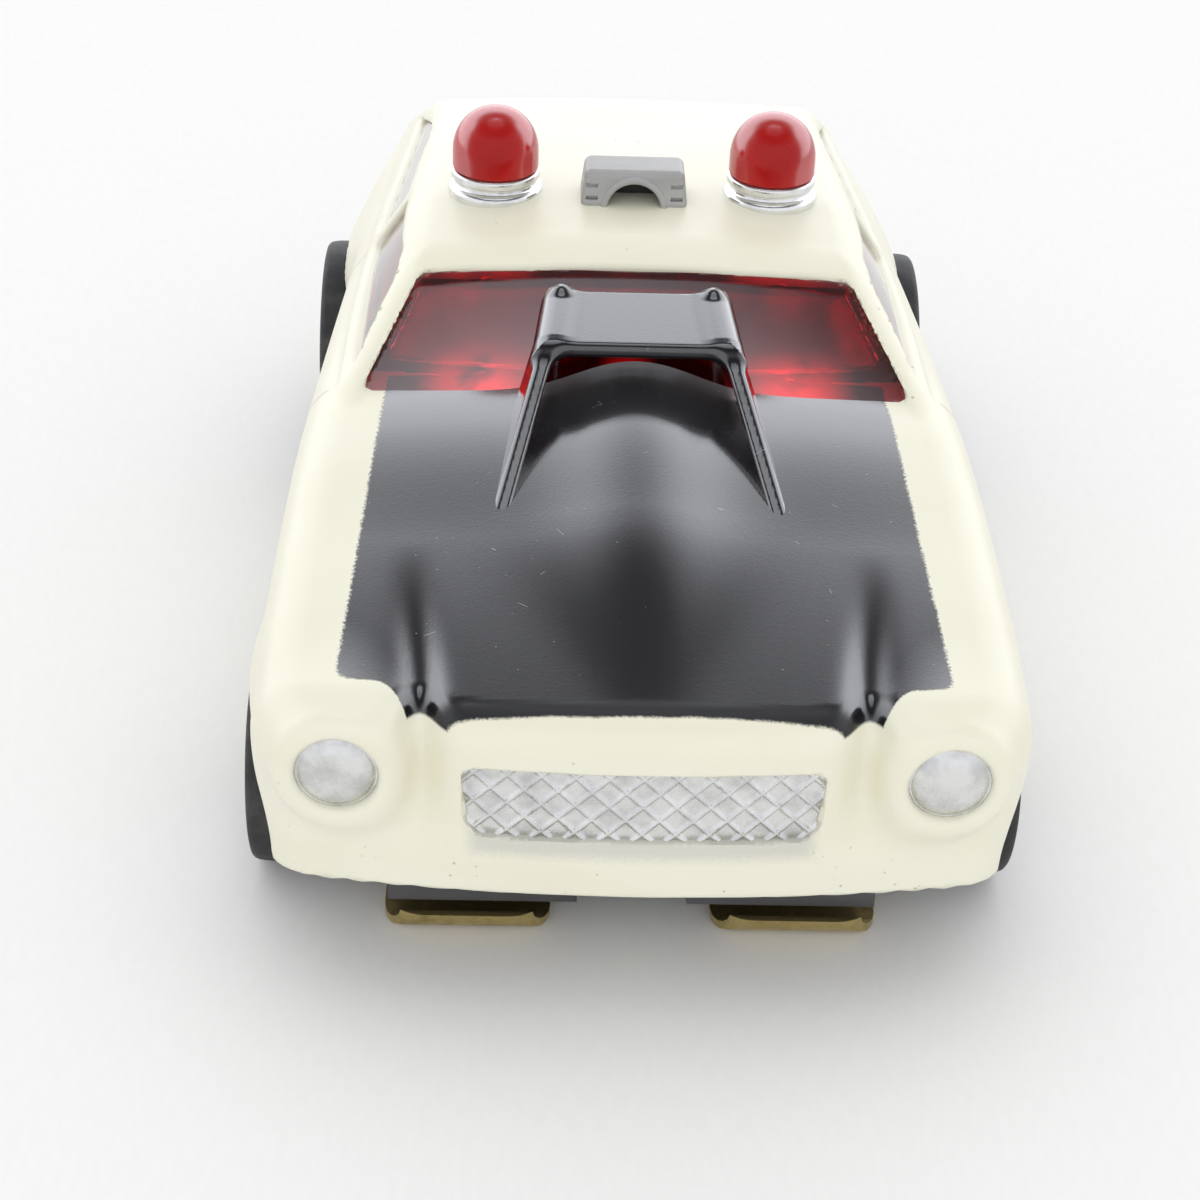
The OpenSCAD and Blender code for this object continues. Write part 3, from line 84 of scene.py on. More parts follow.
def ease(t: Array, a: float, b: float) -> Array:
    """Eases from 0 at a to 1 at b."""
    u = np.clip((t - a) / (b - a), 0.0, 1.0)
    return u * u * (3 - 2 * u)


def along(t: Array, stations: Stations) -> Array:
    """Smooth value along given stations.

    Args:
        t: Places.
        stations: Pairs of place and value, in order.

    Returns:
        The value at each place, held beyond the ends.
    """
    place = np.array([s[0] for s in stations])
    value = np.array([s[1] for s in stations])
    low = np.maximum(np.arange(len(place)) - 1, 0)
    high = np.minimum(np.arange(len(place)) + 1, len(place) - 1)
    slope = (value[high] - value[low]) / (place[high] - place[low])
    v = np.clip(t, place[0], place[-1])
    k = np.clip(np.searchsorted(place, v, side="right") - 1, 0, len(place) - 2)
    d = place[k + 1] - place[k]
    u = (v - place[k]) / d
    return ((2 * u**3 - 3 * u**2 + 1) * value[k] + (u**3 - 2 * u**2 + u) * d * slope[k]
            + (3 * u**2 - 2 * u**3) * value[k + 1] + (u**3 - u**2) * d * slope[k + 1])


def rounded_max(a: Array, b: Array, r: float) -> Array:
    """Intersection of two fields with an edge of radius r."""
    return np.hypot(np.maximum(a + r, 0), np.maximum(b + r, 0)) + np.minimum(np.maximum(a, b) + r, 0) - r


def smooth_min(a: Array, b: Array, k: float) -> Array:
    """Union of two fields with a fillet about k wide."""
    h = np.maximum(k - np.abs(a - b), 0) / k
    return np.minimum(a, b) - h * h * k / 4


@dataclass(frozen=True)
class ShellForm:
    """Sizes of the moulded shell in millimetres, as in the solids."""

    y_nose: float = -30.8
    y_tail: float = 30.8
    front_axle: tuple[float, float] = (-19.5, 4.6)
    rear_axle: tuple[float, float] = (17.1, 5.8)
    front_arch_r: float = 5.4
    rear_arch_r: float = 6.6
    wall: float = 1.0
    shoulder_r: float = 2.4
    roll_r: float = 2.2
    nose_roll: float = 1.4
    nose_bow: float = 1.8
    cowl_y: float = -9.4
    roof_front_y: float = -2.4
    roof_rear_y: float = 19.5
    tailgate_y: float = 27.5
    base_half: float = 13.1
    roof_half: float = 10.4
    taper: float = 1.1
    shield_bow: float = 1.2
    pillar: float = 0.85
    lamp: tuple[float, float] = (11.7, 11.6)
    lamp_r: float = 1.6
    pod_r: float = 2.6
    lamp_depth: float = 1.4
    pod_sink: float = 0.13
    pod_front: float = 0.5
    pod_len: float = 10.0
    # Depth, distance from the middle and width of each valley
    valley: tuple[float, float, float] = (0.42, 8.5, 0.75)
    face_valley: tuple[float, float, float] = (1.15, 8.6, 0.9)
    valley_run: tuple[float, float] = (11.0, 1.0)
    valley_drift: float = 0.8
    face_low: float = 7.2
    hood_crown: float = 0.35
    # Height of the spine, its width at the nose and what it gains towards the cowl
    spine: tuple[float, float, float] = (0.85, 1.3, 2.0)
    spine_run: tuple[float, float] = (-0.5, -9.0)
    nose_half: float = 15.0
    sill_tuck: float = 0.7
    # Size of each flare, height of its top and the tyre under it
    front_flare: tuple[float, float, float] = (1.25, 10.0, 9.2)
    rear_flare: tuple[float, float, float] = (1.6, 12.4, 11.6)
    flare_spread: float = 0.62
    flare_fade: tuple[float, float] = (-1.0, 3.0)
    roof_crown: float = 0.5
    shield_run: float = 7.0
    gate_run: float = 8.0
    # Scales that bring slanted planes near to true distances
    side_scale: float = 0.82
    end_scale: float = 0.45
    edge_scale: float = 0.6
    window_r: float = 0.5
    gate_inset: float = 0.85
    gate_edges: tuple[float, float] = (0.6, 1.4)
    glass_low: float = 17.5
    # Middle height, half height, front and rear of a side window, then its slanted end
    door_glass: tuple[float, float, float, float] = (18.25, 1.25, -6.0, 6.0)
    door_lean: tuple[float, float, float] = (2.667, 0.35, -0.2)
    quarter_glass: tuple[float, float, float, float] = (18.1, 1.1, 7.0, 21.7)
    quarter_lean: tuple[float, float, float] = (3.0, 0.316, 0.1)
    side_glass_x: float = 7.5
    scoop_foot: tuple[float, float, float] = (5.9, -18.6, 15.7)
    scoop_mouth: tuple[float, float, float] = (4.0, -10.0, 19.45)
    scoop_rear: tuple[float, float, float] = (3.6, -5.5, 19.95)
    scoop_half_t: float = 0.34
    ear_r: float = 0.42
    # Y and Z of the windshield's foot, its run for each rise and its scale
    shield_line: tuple[float, float, float, float] = (-11.0, 16.4, 5.2 / 3.1, 0.512)
    # Front, rear and underside of the two shelves that rest on the chassis
    shelves: tuple[tuple[float, float, float], ...] = ((-30.8, -20.7, 6.4), (22.1, 30.8, 7.2))
    shelf_half: float = 3.0
    shelf_t: float = 1.0
    front_arch_x: float = 10.6
    rear_arch_x: float = 8.6
    # Half width, half height and depth of the grille's recess
    grille_recess: tuple[float, float, float] = (6.85, 1.6, 0.7)
    grille_z: float = 10.5
    grille_lean: float = 0.13
    beacon: tuple[float, float] = (6.6, 4.5)
    beacon_seat_r: float = 2.12
    beacon_seat_z: float = 20.46
    pane_inset: float = 0.3
    pane_gap: float = 0.02
    pane_sink: float = 0.35
    insert_gap: float = 0.1
    insert_depth: float = 1.65
    insert_low: float = 15.7
    belt: Stations = ((-30.8, 14.95), (-26.0, 15.25), (-19.5, 15.2), (-9.4, 14.8), (17.1, 13.4), (30.8, 12.6))
    edge: Stations = ((-30.8, 13.9), (-19.5, 15.5), (-9.4, 16.7), (17.1, 16.2), (30.8, 14.8))
    lip: Stations = ((-30.8, 6.2), (-19.5, 4.5), (17.1, 4.5), (30.8, 5.6))
    roof: Stations = ((-2.4, 20.0), (4.5, 20.5), (19.5, 19.5))

    def half_width(self, y: Array, z: Array) -> Array:
        """Half width of the lower body with its tucked sill and flared arches."""
        top = along(y, self.edge) - self.shoulder_r
        low = along(y, self.lip)
        tuck = self.sill_tuck * (1 - ease((z - low) / (top - low), 0.0, 1.0))
        out = along(y, self.belt) - tuck
        start, end = self.flare_fade
        flares = ((self.front_axle, self.front_flare), (self.rear_axle, self.rear_flare))
        for (axle_y, _), (size, top_z, tyre) in flares:
            spread = np.exp(-(((y - axle_y) / (tyre * self.flare_spread)) ** 2))
            out = out + size * spread * (1 - ease(z, top_z + start, top_z + end))
        return out

    def bow(self, x: Array) -> Array:
        """How far a bowed end lies behind its middle."""
        return self.nose_bow * (x / self.nose_half) ** 2

    def hood_rise(self, x: Array, y: Array) -> Array:
        """Height of the hood's crown, bulge and valleys over the shoulder line."""
        depth, valley_x, valley_w = self.valley
        half = along(y, self.belt) - self.shoulder_r
        grow = ease(y, self.y_nose + self.spine_run[0], self.cowl_y + self.spine_run[1])
        fade = ease(y, self.roof_front_y, self.cowl_y)
        back = ease(y, self.y_nose + self.valley_run[0], self.y_nose + self.valley_run[1])
        rise, thin, more = self.spine
        wide = thin + more * grow
        groove = (x - valley_x - self.valley_drift * (1 - back)) / valley_w
        crown = self.hood_crown * (1 - np.minimum(1, x / half) ** 2)
        bulge = rise * grow * fade * np.exp(-((x / wide) ** 2))
        return crown + bulge - depth * back * np.exp(-(groove**2))

    def nose_face(self, x: Array, z: Array) -> Array:
        """How far the nose face lies behind its front plane."""
        depth, valley_x, valley_w = self.face_valley
        groove = (x - valley_x) / valley_w
        return self.bow(x) + depth * np.exp(-(groove**2)) * ease(z, self.face_low, self.lamp[1])

    def lower(self, x: Array, y: Array, z: Array) -> Array:
        """Lower body without its open bottom."""
        side = x - self.half_width(y, z)
        top = z - along(y, self.edge) - self.hood_rise(x, y)
        body = rounded_max(side, top, self.shoulder_r)
        body = rounded_max(body, self.y_nose + self.nose_face(x, z) - y, self.nose_roll)
        return rounded_max(body, y - self.y_tail + self.bow(x), self.roll_r)

    def pod(self, x: Array, y: Array, z: Array) -> Array:
        """Raised pod round a headlight."""
        q = np.hypot(x - self.lamp[0], z - self.lamp[1])
        sink = self.pod_sink * np.maximum(y - self.y_nose, 0)
        d = rounded_max(q - self.pod_r + sink, self.y_nose + self.pod_front - y, 0.6)
        return rounded_max(d, y - self.y_nose - self.pod_len, 1.2)

    def greenhouse(self, x: Array, y: Array, z: Array) -> Array:
        """Greenhouse with its roof, down into the lower body."""
        low = along(y, self.edge)
        high = along(y, self.roof)
        u = np.maximum((z - low) / (high - low), 0)
        half = self.base_half + (self.roof_half - self.base_half) * u
        narrow = 1 - self.taper / self.base_half * ease(y, self.roof_front_y, self.tailgate_y)
        side = (x - half * narrow) * self.side_scale
        bow = self.shield_bow * (1 - u / 2) * np.maximum(0, 1 - (x / half) ** 2)
        front = (self.cowl_y + self.shield_run * u - bow - y) * self.end_scale
        rear = (y - self.tailgate_y + self.gate_run * u - bow) * self.end_scale
        top = z - high - self.roof_crown * (1 - (x / self.roof_half) ** 2)
        g = rounded_max(rounded_max(side, front, 0.6), rear, 0.7)
        return np.maximum(rounded_max(g, top, 0.8), low - 2 - z)

    def openings(self, x: Array, y: Array, z: Array) -> Array:
        """All the window openings as one field."""
        low = along(y, self.edge)
        u = (z - low) / (along(y, self.roof) - low)
        half = self.base_half + (self.roof_half - self.base_half) * u
        narrow = 1 - self.taper / self.base_half * ease(y, self.roof_front_y, self.tailgate_y)
        r = self.window_r
        over = z - self.glass_low
        inset = (x - half + self.pillar) * self.side_scale
        shield = rounded_max(inset, (y - self.roof_front_y + 0.1) * self.edge_scale, r)
        gate_in = (x - (half - self.pillar) * narrow + self.gate_inset * (1 - u)) * self.side_scale
        gate = rounded_max(gate_in, (self.roof_rear_y + self.gate_edges[0] - y) * self.edge_scale, r)
        gate = rounded_max(gate, (y - self.tailgate_y + self.gate_edges[1]) * self.edge_scale, r)
        mid, tall, front, rear = self.door_glass
        lean, scale, shift = self.door_lean
        door = rounded_max(np.abs(z - mid) - tall, ((front - y) + over * lean) * scale + shift, r)
        door = rounded_max(door, y - rear, r)
        mid, tall, front, rear = self.quarter_glass
        lean, scale, shift = self.quarter_lean
        quarter = rounded_max(np.abs(z - mid) - tall, front - y, r)
        quarter = rounded_max(quarter, (y - rear + over * lean) * scale + shift, r)
        sides = np.maximum(np.minimum(door, quarter), self.side_glass_x - x)
        return np.minimum(np.minimum(shield, gate), sides)

    def scoop(self, x: Array, y: Array, z: Array) -> Array:
        """Hood scoop: two leaning fins and a top plate."""
        x = np.abs(x)
        foot, mouth, rear = self.scoop_foot, self.scoop_mouth, self.scoop_rear
        plane = np.linalg.solve([[p[1], p[2], 1] for p in (foot, mouth, rear)], [foot[0], mouth[0], rear[0]])
        mid = plane[0] * y + plane[1] * z + plane[2]
        scale = 1 / np.sqrt(1 + plane[0] ** 2 + plane[1] ** 2)
        plate_z = mouth[2] + (y - mouth[1]) * (rear[2] - mouth[2]) / (rear[1] - mouth[1])
        over = (z - plate_z) * 0.99
        run = (mouth[1] - foot[1]) / (mouth[2] - foot[2])
        lead = ((foot[1] - y) + (z - foot[2]) * run) * 0.4
        glass_y, glass_z, glass_run, glass_scale = self.shield_line
        glass = ((glass_y - y) + (z - glass_z) * glass_run) * -glass_scale
        ends = np.maximum(np.maximum(over - 0.2, lead), np.maximum(y - rear[1], glass))
        fin = rounded_max(np.abs(x - mid) * scale - self.scoop_half_t, ends, 0.24)
        fin = np.maximum(fin, along(y, self.edge) - 0.3 - z)
        rim = np.maximum((x - mid) * scale - 0.3, np.maximum(mouth[1] - y, y - rear[1]))
        top = rounded_max(np.abs(over) - self.scoop_half_t, rim, 0.26)
        x_rear = plane[0] * rear[1] + plane[1] * rear[2] + plane[2]
        ear = np.sqrt((x - x_rear + 0.2) ** 2 + (y - rear[1] + 0.4) ** 2 + (over - 0.3) ** 2) - self.ear_r
        return smooth_min(smooth_min(fin, top, 0.9), ear, 0.3)

    def shell(self, x: Array, y: Array, z: Array) -> Array:
        """The whole moulding."""
        x = np.abs(x)
        lower = self.lower(x, y, z)
        green = self.greenhouse(x, y, z)
        outer = smooth_min(lower, self.pod(x, y, z), 1.5)
        cut = rounded_max(green, -self.openings(x, y, z), 0.22)
        outer = smooth_min(outer, cut, 0.5)
        cavity = np.minimum(lower, green) + self.wall
        d = np.maximum(outer, -cavity)
        d = rounded_max(d, along(y, self.lip) - z, 0.2)
        half_t = self.shelf_t / 2
        for front, rear, under in self.shelves:
            flat = np.maximum(x - self.shelf_half, np.abs(z - under - half_t) - half_t)
            shelf = np.maximum(flat, np.maximum(front - y, y - rear))
            d = np.minimum(d, np.maximum(shelf, lower + self.wall / 2))
        arches = ((*self.front_axle, self.front_arch_r, self.front_arch_x),
                  (*self.rear_axle, self.rear_arch_r, self.rear_arch_x))
        for axle_y, axle_z, r, inner in arches:
            arch = np.hypot(y - axle_y, np.maximum(z - axle_z, 0)) - r
            d = rounded_max(d, -np.maximum(arch, inner - x), 0.15)
        lamp = np.hypot(x - self.lamp[0], z - self.lamp[1]) - self.lamp_r
        d = rounded_max(d, -np.maximum(lamp, y - self.y_nose - self.lamp_depth), 0.3)
        half, tall, depth = self.grille_recess
        up = z - self.grille_z
        grille = rounded_max(x - half - self.grille_lean * up, np.abs(up) - tall, 0.7)
        d = rounded_max(d, -np.maximum(grille, y - (self.y_nose + depth + self.bow(x))), 0.15)
        beacon = np.hypot(x - self.beacon[0], y - self.beacon[1]) - self.beacon_seat_r
        return np.maximum(d, -np.maximum(beacon, self.beacon_seat_z - z))

    def glass(self, x: Array, y: Array, z: Array) -> Array:
        """The red insert: a thin hood with raised panes in the openings."""
        x = np.abs(x)
        green = self.greenhouse(x, y, z)
        lower = self.lower(x, y, z)
        pane = np.maximum(green + self.pane_inset, self.openings(x, y, z) + self.pane_gap)
        pane = np.maximum(pane, -self.pane_sink - lower)
        solid = np.minimum(green + self.wall + self.insert_gap, pane)
        return np.maximum(np.maximum(solid, -(green + self.insert_depth)), self.insert_low - z)


@dataclass(frozen=True)
class Contour:
    """Meshes a field that is the same on both sides, by dual contouring."""

    low: tuple[float, float, float]
    high: tuple[float, float, float]
    cell: float
    # Axis, start, end and cell of each fine band
    fine: tuple[tuple[int, float, float, float], ...] = ()
    # How strongly a point is held near the middle of its crossings
    pull: float = 0.05

    def ticks(self, axis: int) -> Array:
        """Grid places along an axis, closer together in the fine bands."""
        places = [self.low[axis]]
        while places[-1] < self.high[axis]:
            near = [c for k, a, b, c in self.fine if k == axis and a <= places[-1] < b]
            places.append(places[-1] + min(near, default=self.cell))
        return np.array(places)

    def mesh(self, field: Field) -> "Skin":
        """Finds the surface where the field is zero.

        Args:
            field: Negative inside, of x, y and z.

        Returns:
            The skin, with the surface's normal at each point.
        """
        right_x, ys, zs = (self.ticks(k) for k in range(3))
        xs = np.concatenate([-right_x[:0:-1], right_x])
        y, z = np.meshgrid(ys, zs, indexing="ij")
        right = np.stack([field(np.full(y.shape, x), y, z) for x in right_x])
        f = np.concatenate([right[:0:-1], right])
        shape = np.array(f.shape)
        cells = shape - 1
        axes = (xs, ys, zs)
        ata = np.zeros((int(cells.prod()), 3, 3), np.float32)
        atb = np.zeros((len(ata), 3), np.float32)
        mass = np.zeros((len(ata), 3), np.float32)
        count = np.zeros(len(ata), np.float32)
        faces = []
        for axis in range(3):
            # Places and normals where the grid's lines along this axis cross the surface
            a = np.moveaxis(f, axis, 0)
            cross = np.moveaxis((a[:-1] < 0) != (a[1:] < 0), 0, axis)
            idx = np.argwhere(cross)
            step = np.eye(3, dtype=int)[axis]
            f0 = f[tuple(idx.T)]
            f1 = f[tuple((idx + step).T)]
            t = f0 / (f0 - f1)
            p = np.stack([axes[k][idx[:, k]] for k in range(3)], 1)
            p[:, axis] += t * np.diff(axes[axis])[idx[:, axis]]
            n = self.normals(field, p)
            b, c = [k for k in range(3) if k != axis]
            # The four cells round each crossing make one face
            corner = []
            for db, dc in ((0, 0), (-1, 0), (-1, -1), (0, -1)):
                q = idx.copy()
                q[:, b] += db
                q[:, c] += dc
                corner.append(q)
            inside = np.all([((q >= 0) & (q < cells)).all(1) for q in corner], 0)
            flat = [np.ravel_multi_index(q[inside].T, cells) for q in corner]
            p, n, f0 = p[inside], n[inside], f0[inside]
            for q in flat:
                for k in range(3):
                    mass[:, k] += np.bincount(q, p[:, k], len(mass)).astype(np.float32)
                    for m in range(3):
                        ata[:, k, m] += np.bincount(q, n[:, k] * n[:, m], len(mass)).astype(np.float32)
                count += np.bincount(q, minlength=len(mass)).astype(np.float32)
            dot = (p * n).sum(1)
            for q in flat:
                for k in range(3):
                    atb[:, k] += np.bincount(q, n[:, k] * dot, len(mass)).astype(np.float32)
            quad = np.stack(flat, 1)
            flip = (f0 < 0) if axis != 1 else (f0 >= 0)
            quad[~flip] = quad[~flip][:, ::-1]
            faces.append(quad)
        # The point in each cell that fits the planes of its crossings best
        used = np.flatnonzero(count)
        centre = (mass[used] / count[used, None]).astype(float)
        m = ata[used].astype(float)
        rhs = atb[used].astype(float) - np.einsum("nij,nj->ni", m, centre)
        shift = np.linalg.solve(m + self.pull * np.eye(3), rhs[..., None])[..., 0]
        at = np.unravel_index(used, cells)
        least = np.stack([axes[k][at[k]] for k in range(3)], 1)
        most = np.stack([axes[k][at[k] + 1] for k in range(3)], 1)
        points = np.clip(centre + shift, least, most)
        index = np.zeros(len(count), int)
        index[used] = np.arange(len(used))
        return Skin(points, index[np.concatenate(faces)].tolist(), self.normals(field, points))

    @staticmethod
    def normals(field: Field, p: Array) -> Array:
        """Unit gradient of the field at points."""
        e = 0.02
        n = np.stack([field(*(p + e * d).T) - field(*(p - e * d).T) for d in np.eye(3)], 1)
        return n / np.maximum(np.linalg.norm(n, axis=1, keepdims=True), 1e-9)


class Val:
    """A shader socket whose operators add Math nodes."""

    def __init__(self, graph: "Nodes", socket: bpy.types.NodeSocket) -> None:
        """Keeps the graph and the socket."""
        self.graph = graph
        self.socket = socket

    def out(self, name: str) -> "Val":
        """Another output of the same node."""
        return Val(self.graph, self.socket.node.outputs[name])

    def math(self, operation: str, *others: "Val | float") -> "Val":
        """This value and others through one Math node."""
        sockets = dict(enumerate((self, *others)))
        return self.graph.node("ShaderNodeMath", {"operation": operation}, sockets)

    def __add__(self, other: "Val | float") -> "Val":
        """Sum."""
        return self.math("ADD", other)

    def __radd__(self, other: float) -> "Val":
        """Sum, reflected."""
        return self.math("ADD", other)

    def __sub__(self, other: "Val | float") -> "Val":
        """Difference."""
        return self.math("SUBTRACT", other)

    def __rsub__(self, other: float) -> "Val":
        """Difference, reflected."""
        return self.graph.node("ShaderNodeMath", {"operation": "SUBTRACT"}, {0: other, 1: self})

    def __mul__(self, other: "Val | float") -> "Val":
        """Product."""
        return self.math("MULTIPLY", other)

    def __rmul__(self, other: float) -> "Val":
        """Product, reflected."""
        return self.math("MULTIPLY", other)

    def __abs__(self) -> "Val":
        """Absolute value."""
        return self.math("ABSOLUTE")

    def step(self, low: float, high: float) -> "Val":
        """Smooth step from 0 at low to 1 at high, or down where low is above high."""
        settings = {"interpolation_type": "SMOOTHSTEP"}
        ends = {1: low, 2: high, 3: 0.0, 4: 1.0}
        if low > high:
            ends = {1: high, 2: low, 3: 1.0, 4: 0.0}
        return self.graph.node("ShaderNodeMapRange", settings, {0: self, **ends})


class Nodes:
    """Node tree whose nodes all come from one method."""

    def __init__(self, tree: bpy.types.NodeTree) -> None:
        """Empties the tree."""
        self.tree = tree
        tree.nodes.clear()

    def node(self, kind: str, settings: dict, sockets: dict) -> Val | None:
        """Adds a node.

        Args:
            kind: Blender's type of node.
            settings: Properties of the node; stops are the places and colours of a ramp.
            sockets: Values or links by input name or number.

        Returns:
            The first output that is on, if the node has one.
        """
        made = self.tree.nodes.new(kind)
        for key, value in settings.items():
            if key == "stops":
                ramp = made.color_ramp
                while len(ramp.elements) < len(value):
                    ramp.elements.new(1.0)
                for element, (place, colour) in zip(ramp.elements, value):
                    element.position = place
                    element.color = (*colour, 1.0)
            else:
                setattr(made, key, value)
        for key, value in sockets.items():
            if isinstance(value, Val):
                self.tree.links.new(value.socket, made.inputs[key])
            else:
                made.inputs[key].default_value = value
        shown = [s for s in made.outputs if s.enabled]
        return Val(self, shown[0]) if shown else None

    def split(self, vector: Val) -> tuple[Val, Val, Val]:
        """X, Y and Z of a vector."""
        x = self.node("ShaderNodeSeparateXYZ", {}, {0: vector})
        return x, x.out("Y"), x.out("Z")


class Graph(Nodes):
    """Node tree of one material with a Principled shader."""

    def __init__(self, name: str) -> None:
        """Makes an empty material."""
        self.material = bpy.data.materials.new(name)
        self.material.use_nodes = True
        super().__init__(self.material.node_tree)
        shader = self.node("ShaderNodeBsdfPrincipled", {}, {})
        self.bsdf = shader.socket.node
        self.node("ShaderNodeOutputMaterial", {}, {0: shader})

    def place(self) -> Val:
        """Object coordinates in millimetres."""
        at = self.node("ShaderNodeTexCoord", {}, {}).out("Object")
        return self.node("ShaderNodeVectorMath", {"operation": "SCALE"}, {0: at, "Scale": 1 / MM})

    def stretch(self, vector: Val, by: Colour) -> Val:
        """Coordinates scaled along each axis."""
        return self.node("ShaderNodeVectorMath", {"operation": "MULTIPLY"}, {0: vector, 1: by})

    def noise(self, vector: Val, scale: float, detail: float = 3.0, rough: float = 0.5) -> Val:
        """Smooth noise from 0 to 1, scale per millimetre."""
        sockets = {"Vector": vector, "Scale": scale, "Detail": detail, "Roughness": rough}
        return self.node("ShaderNodeTexNoise", {}, sockets)

    def cells(self, vector: Val, scale: float, feature: str = "F1") -> Val:
        """Distance in a pattern of cells."""
        return self.node("ShaderNodeTexVoronoi", {"feature": feature}, {"Vector": vector, "Scale": scale})

    def mix(self, share: "Val | float", a: "Val | Colour", b: "Val | Colour") -> Val:
        """Colour between a and b."""
        ends = (c if isinstance(c, Val) else (*c, 1.0) for c in (a, b))
        sockets = {"Factor": share, **dict(zip(COLOUR_ENDS, ends))}
        return self.node("ShaderNodeMix", {"data_type": "RGBA"}, sockets)

    def bump(self, height: Val, strength: float, depth: float) -> Val:
        """Normal from a height, depth in millimetres."""
        sockets = {"Height": height, "Strength": strength, "Distance": depth * MM}
        return self.node("ShaderNodeBump", {}, sockets)

    def finish(self, **sockets: "Val | float | Colour") -> bpy.types.Material:
        """Sets the shader's sockets, given with underscores for spaces.

        Args:
            sockets: Values or links.

        Returns:
            The material.
        """
        for key, value in sockets.items():
            target = self.bsdf.inputs[key.replace("_", " ")]
            if isinstance(value, Val):
                self.tree.links.new(value.socket, target)
            elif isinstance(value, tuple) and len(value) == 3 and target.type == "RGBA":
                target.default_value = (*value, 1.0)
            else:
                target.default_value = value
        return self.material


@dataclass(frozen=True)
class Moulded:
    """Moulded plastic with faint flow marks, dust and fine grain, and where asked painted shade that darkens
    the inside of a round mouth.
    """

    name: str
    colour: Colour
    shade: Colour
    rough: float = 0.42
    grain: float = 9.0
    # Middle across, front, middle height and radius of a mouth darkened by painted shade, then the shade's
    # colour
    shaded_mouth: tuple[float, float, float, float] | None = None
    mouth_shade_colour: Colour = (0.012, 0.010, 0.010)

    def material(self) -> bpy.types.Material:
        """Builds the material."""
        g = Graph(self.name)
        at = g.place()
        flow = g.noise(g.stretch(at, (0.5, 1.0, 1.6)), 0.5)
        grain = g.noise(at, self.grain, 2.0)
        dust = g.noise(at, 3.1, 5.0, 0.7).step(0.62, 0.8)
        colour = g.mix(flow.step(0.25, 0.75), self.colour, self.shade)
        pale = tuple(min(1.0, c * 0.7 + 0.12) for c in self.colour)
        colour = g.mix(dust * 0.35, colour, pale)
        if self.shaded_mouth:
            # Painted shade: the mouth's inside turns near black
            colour = g.mix(self.inside(g, at), colour, self.mouth_shade_colour)
        rough = self.rough + 0.12 * (grain - 0.5) + 0.1 * dust
        return g.finish(Base_Color=colour, Roughness=rough, Normal=g.bump(grain, 0.25, 0.03))

    def inside(self, g: Graph, at: Val) -> Val:
        """Painted shade that darkens the inside of a round mouth given by its middle in X and Z, its front in
        Y and its radius.
        """
        x, y, z = g.split(at)
        mid_x, front_y, mid_z, radius = self.shaded_mouth
        across, up = x - mid_x, z - mid_z
        out = (across * across + up * up).math("SQRT")
        return out.step(radius + 0.03, radius) * y.step(front_y, front_y + 0.12)


@dataclass(frozen=True)
class Metal:
    """Drawn or plated metal with fine streaks and tarnish."""

    name: str
    colour: Colour
    tarnish: Colour
    rough: float = 0.3
    streak: Colour = (1.0, 6.0, 1.0)

    def material(self) -> bpy.types.Material:
        """Builds the material."""
        g = Graph(self.name)
        at = g.place()
        lines = g.noise(g.stretch(at, self.streak), 2.5, 4.0, 0.6)
        spots = g.noise(at, 0.9, 5.0, 0.65)
        share = spots.step(0.45, 0.75)
        drawn = g.mix(lines.step(0.3, 0.7) * 0.35, self.colour, self.tarnish)
        colour = g.mix(share * 0.75, drawn, self.tarnish)
        rough = self.rough + 0.16 * (lines - 0.5) + 0.16 * share
        normal = g.bump(lines, 0.2, 0.02)
        return g.finish(Base_Color=colour, Metallic=0.95, Roughness=rough, Normal=normal)


@dataclass(frozen=True)
class Silvered:
    """Vacuum-silvered plastic, slightly dull, with fine pits."""

    name: str
    colour: Colour = (0.74, 0.74, 0.725)
    low: Colour = (0.55, 0.55, 0.54)
    rough: float = 0.27

    def material(self) -> bpy.types.Material:
        """Builds the material."""
        g = Graph(self.name)
        at = g.place()
        cloud = g.noise(at, 1.1, 4.0)
        pits = g.noise(at, 14.0, 2.0)
        colour = g.mix(cloud.step(0.35, 0.75), self.colour, self.low)
        rough = self.rough + 0.14 * (cloud - 0.5) + 0.08 * (pits - 0.5)
        return g.finish(Base_Color=colour, Metallic=0.9, Roughness=rough, Normal=g.bump(pits, 0.2, 0.02))


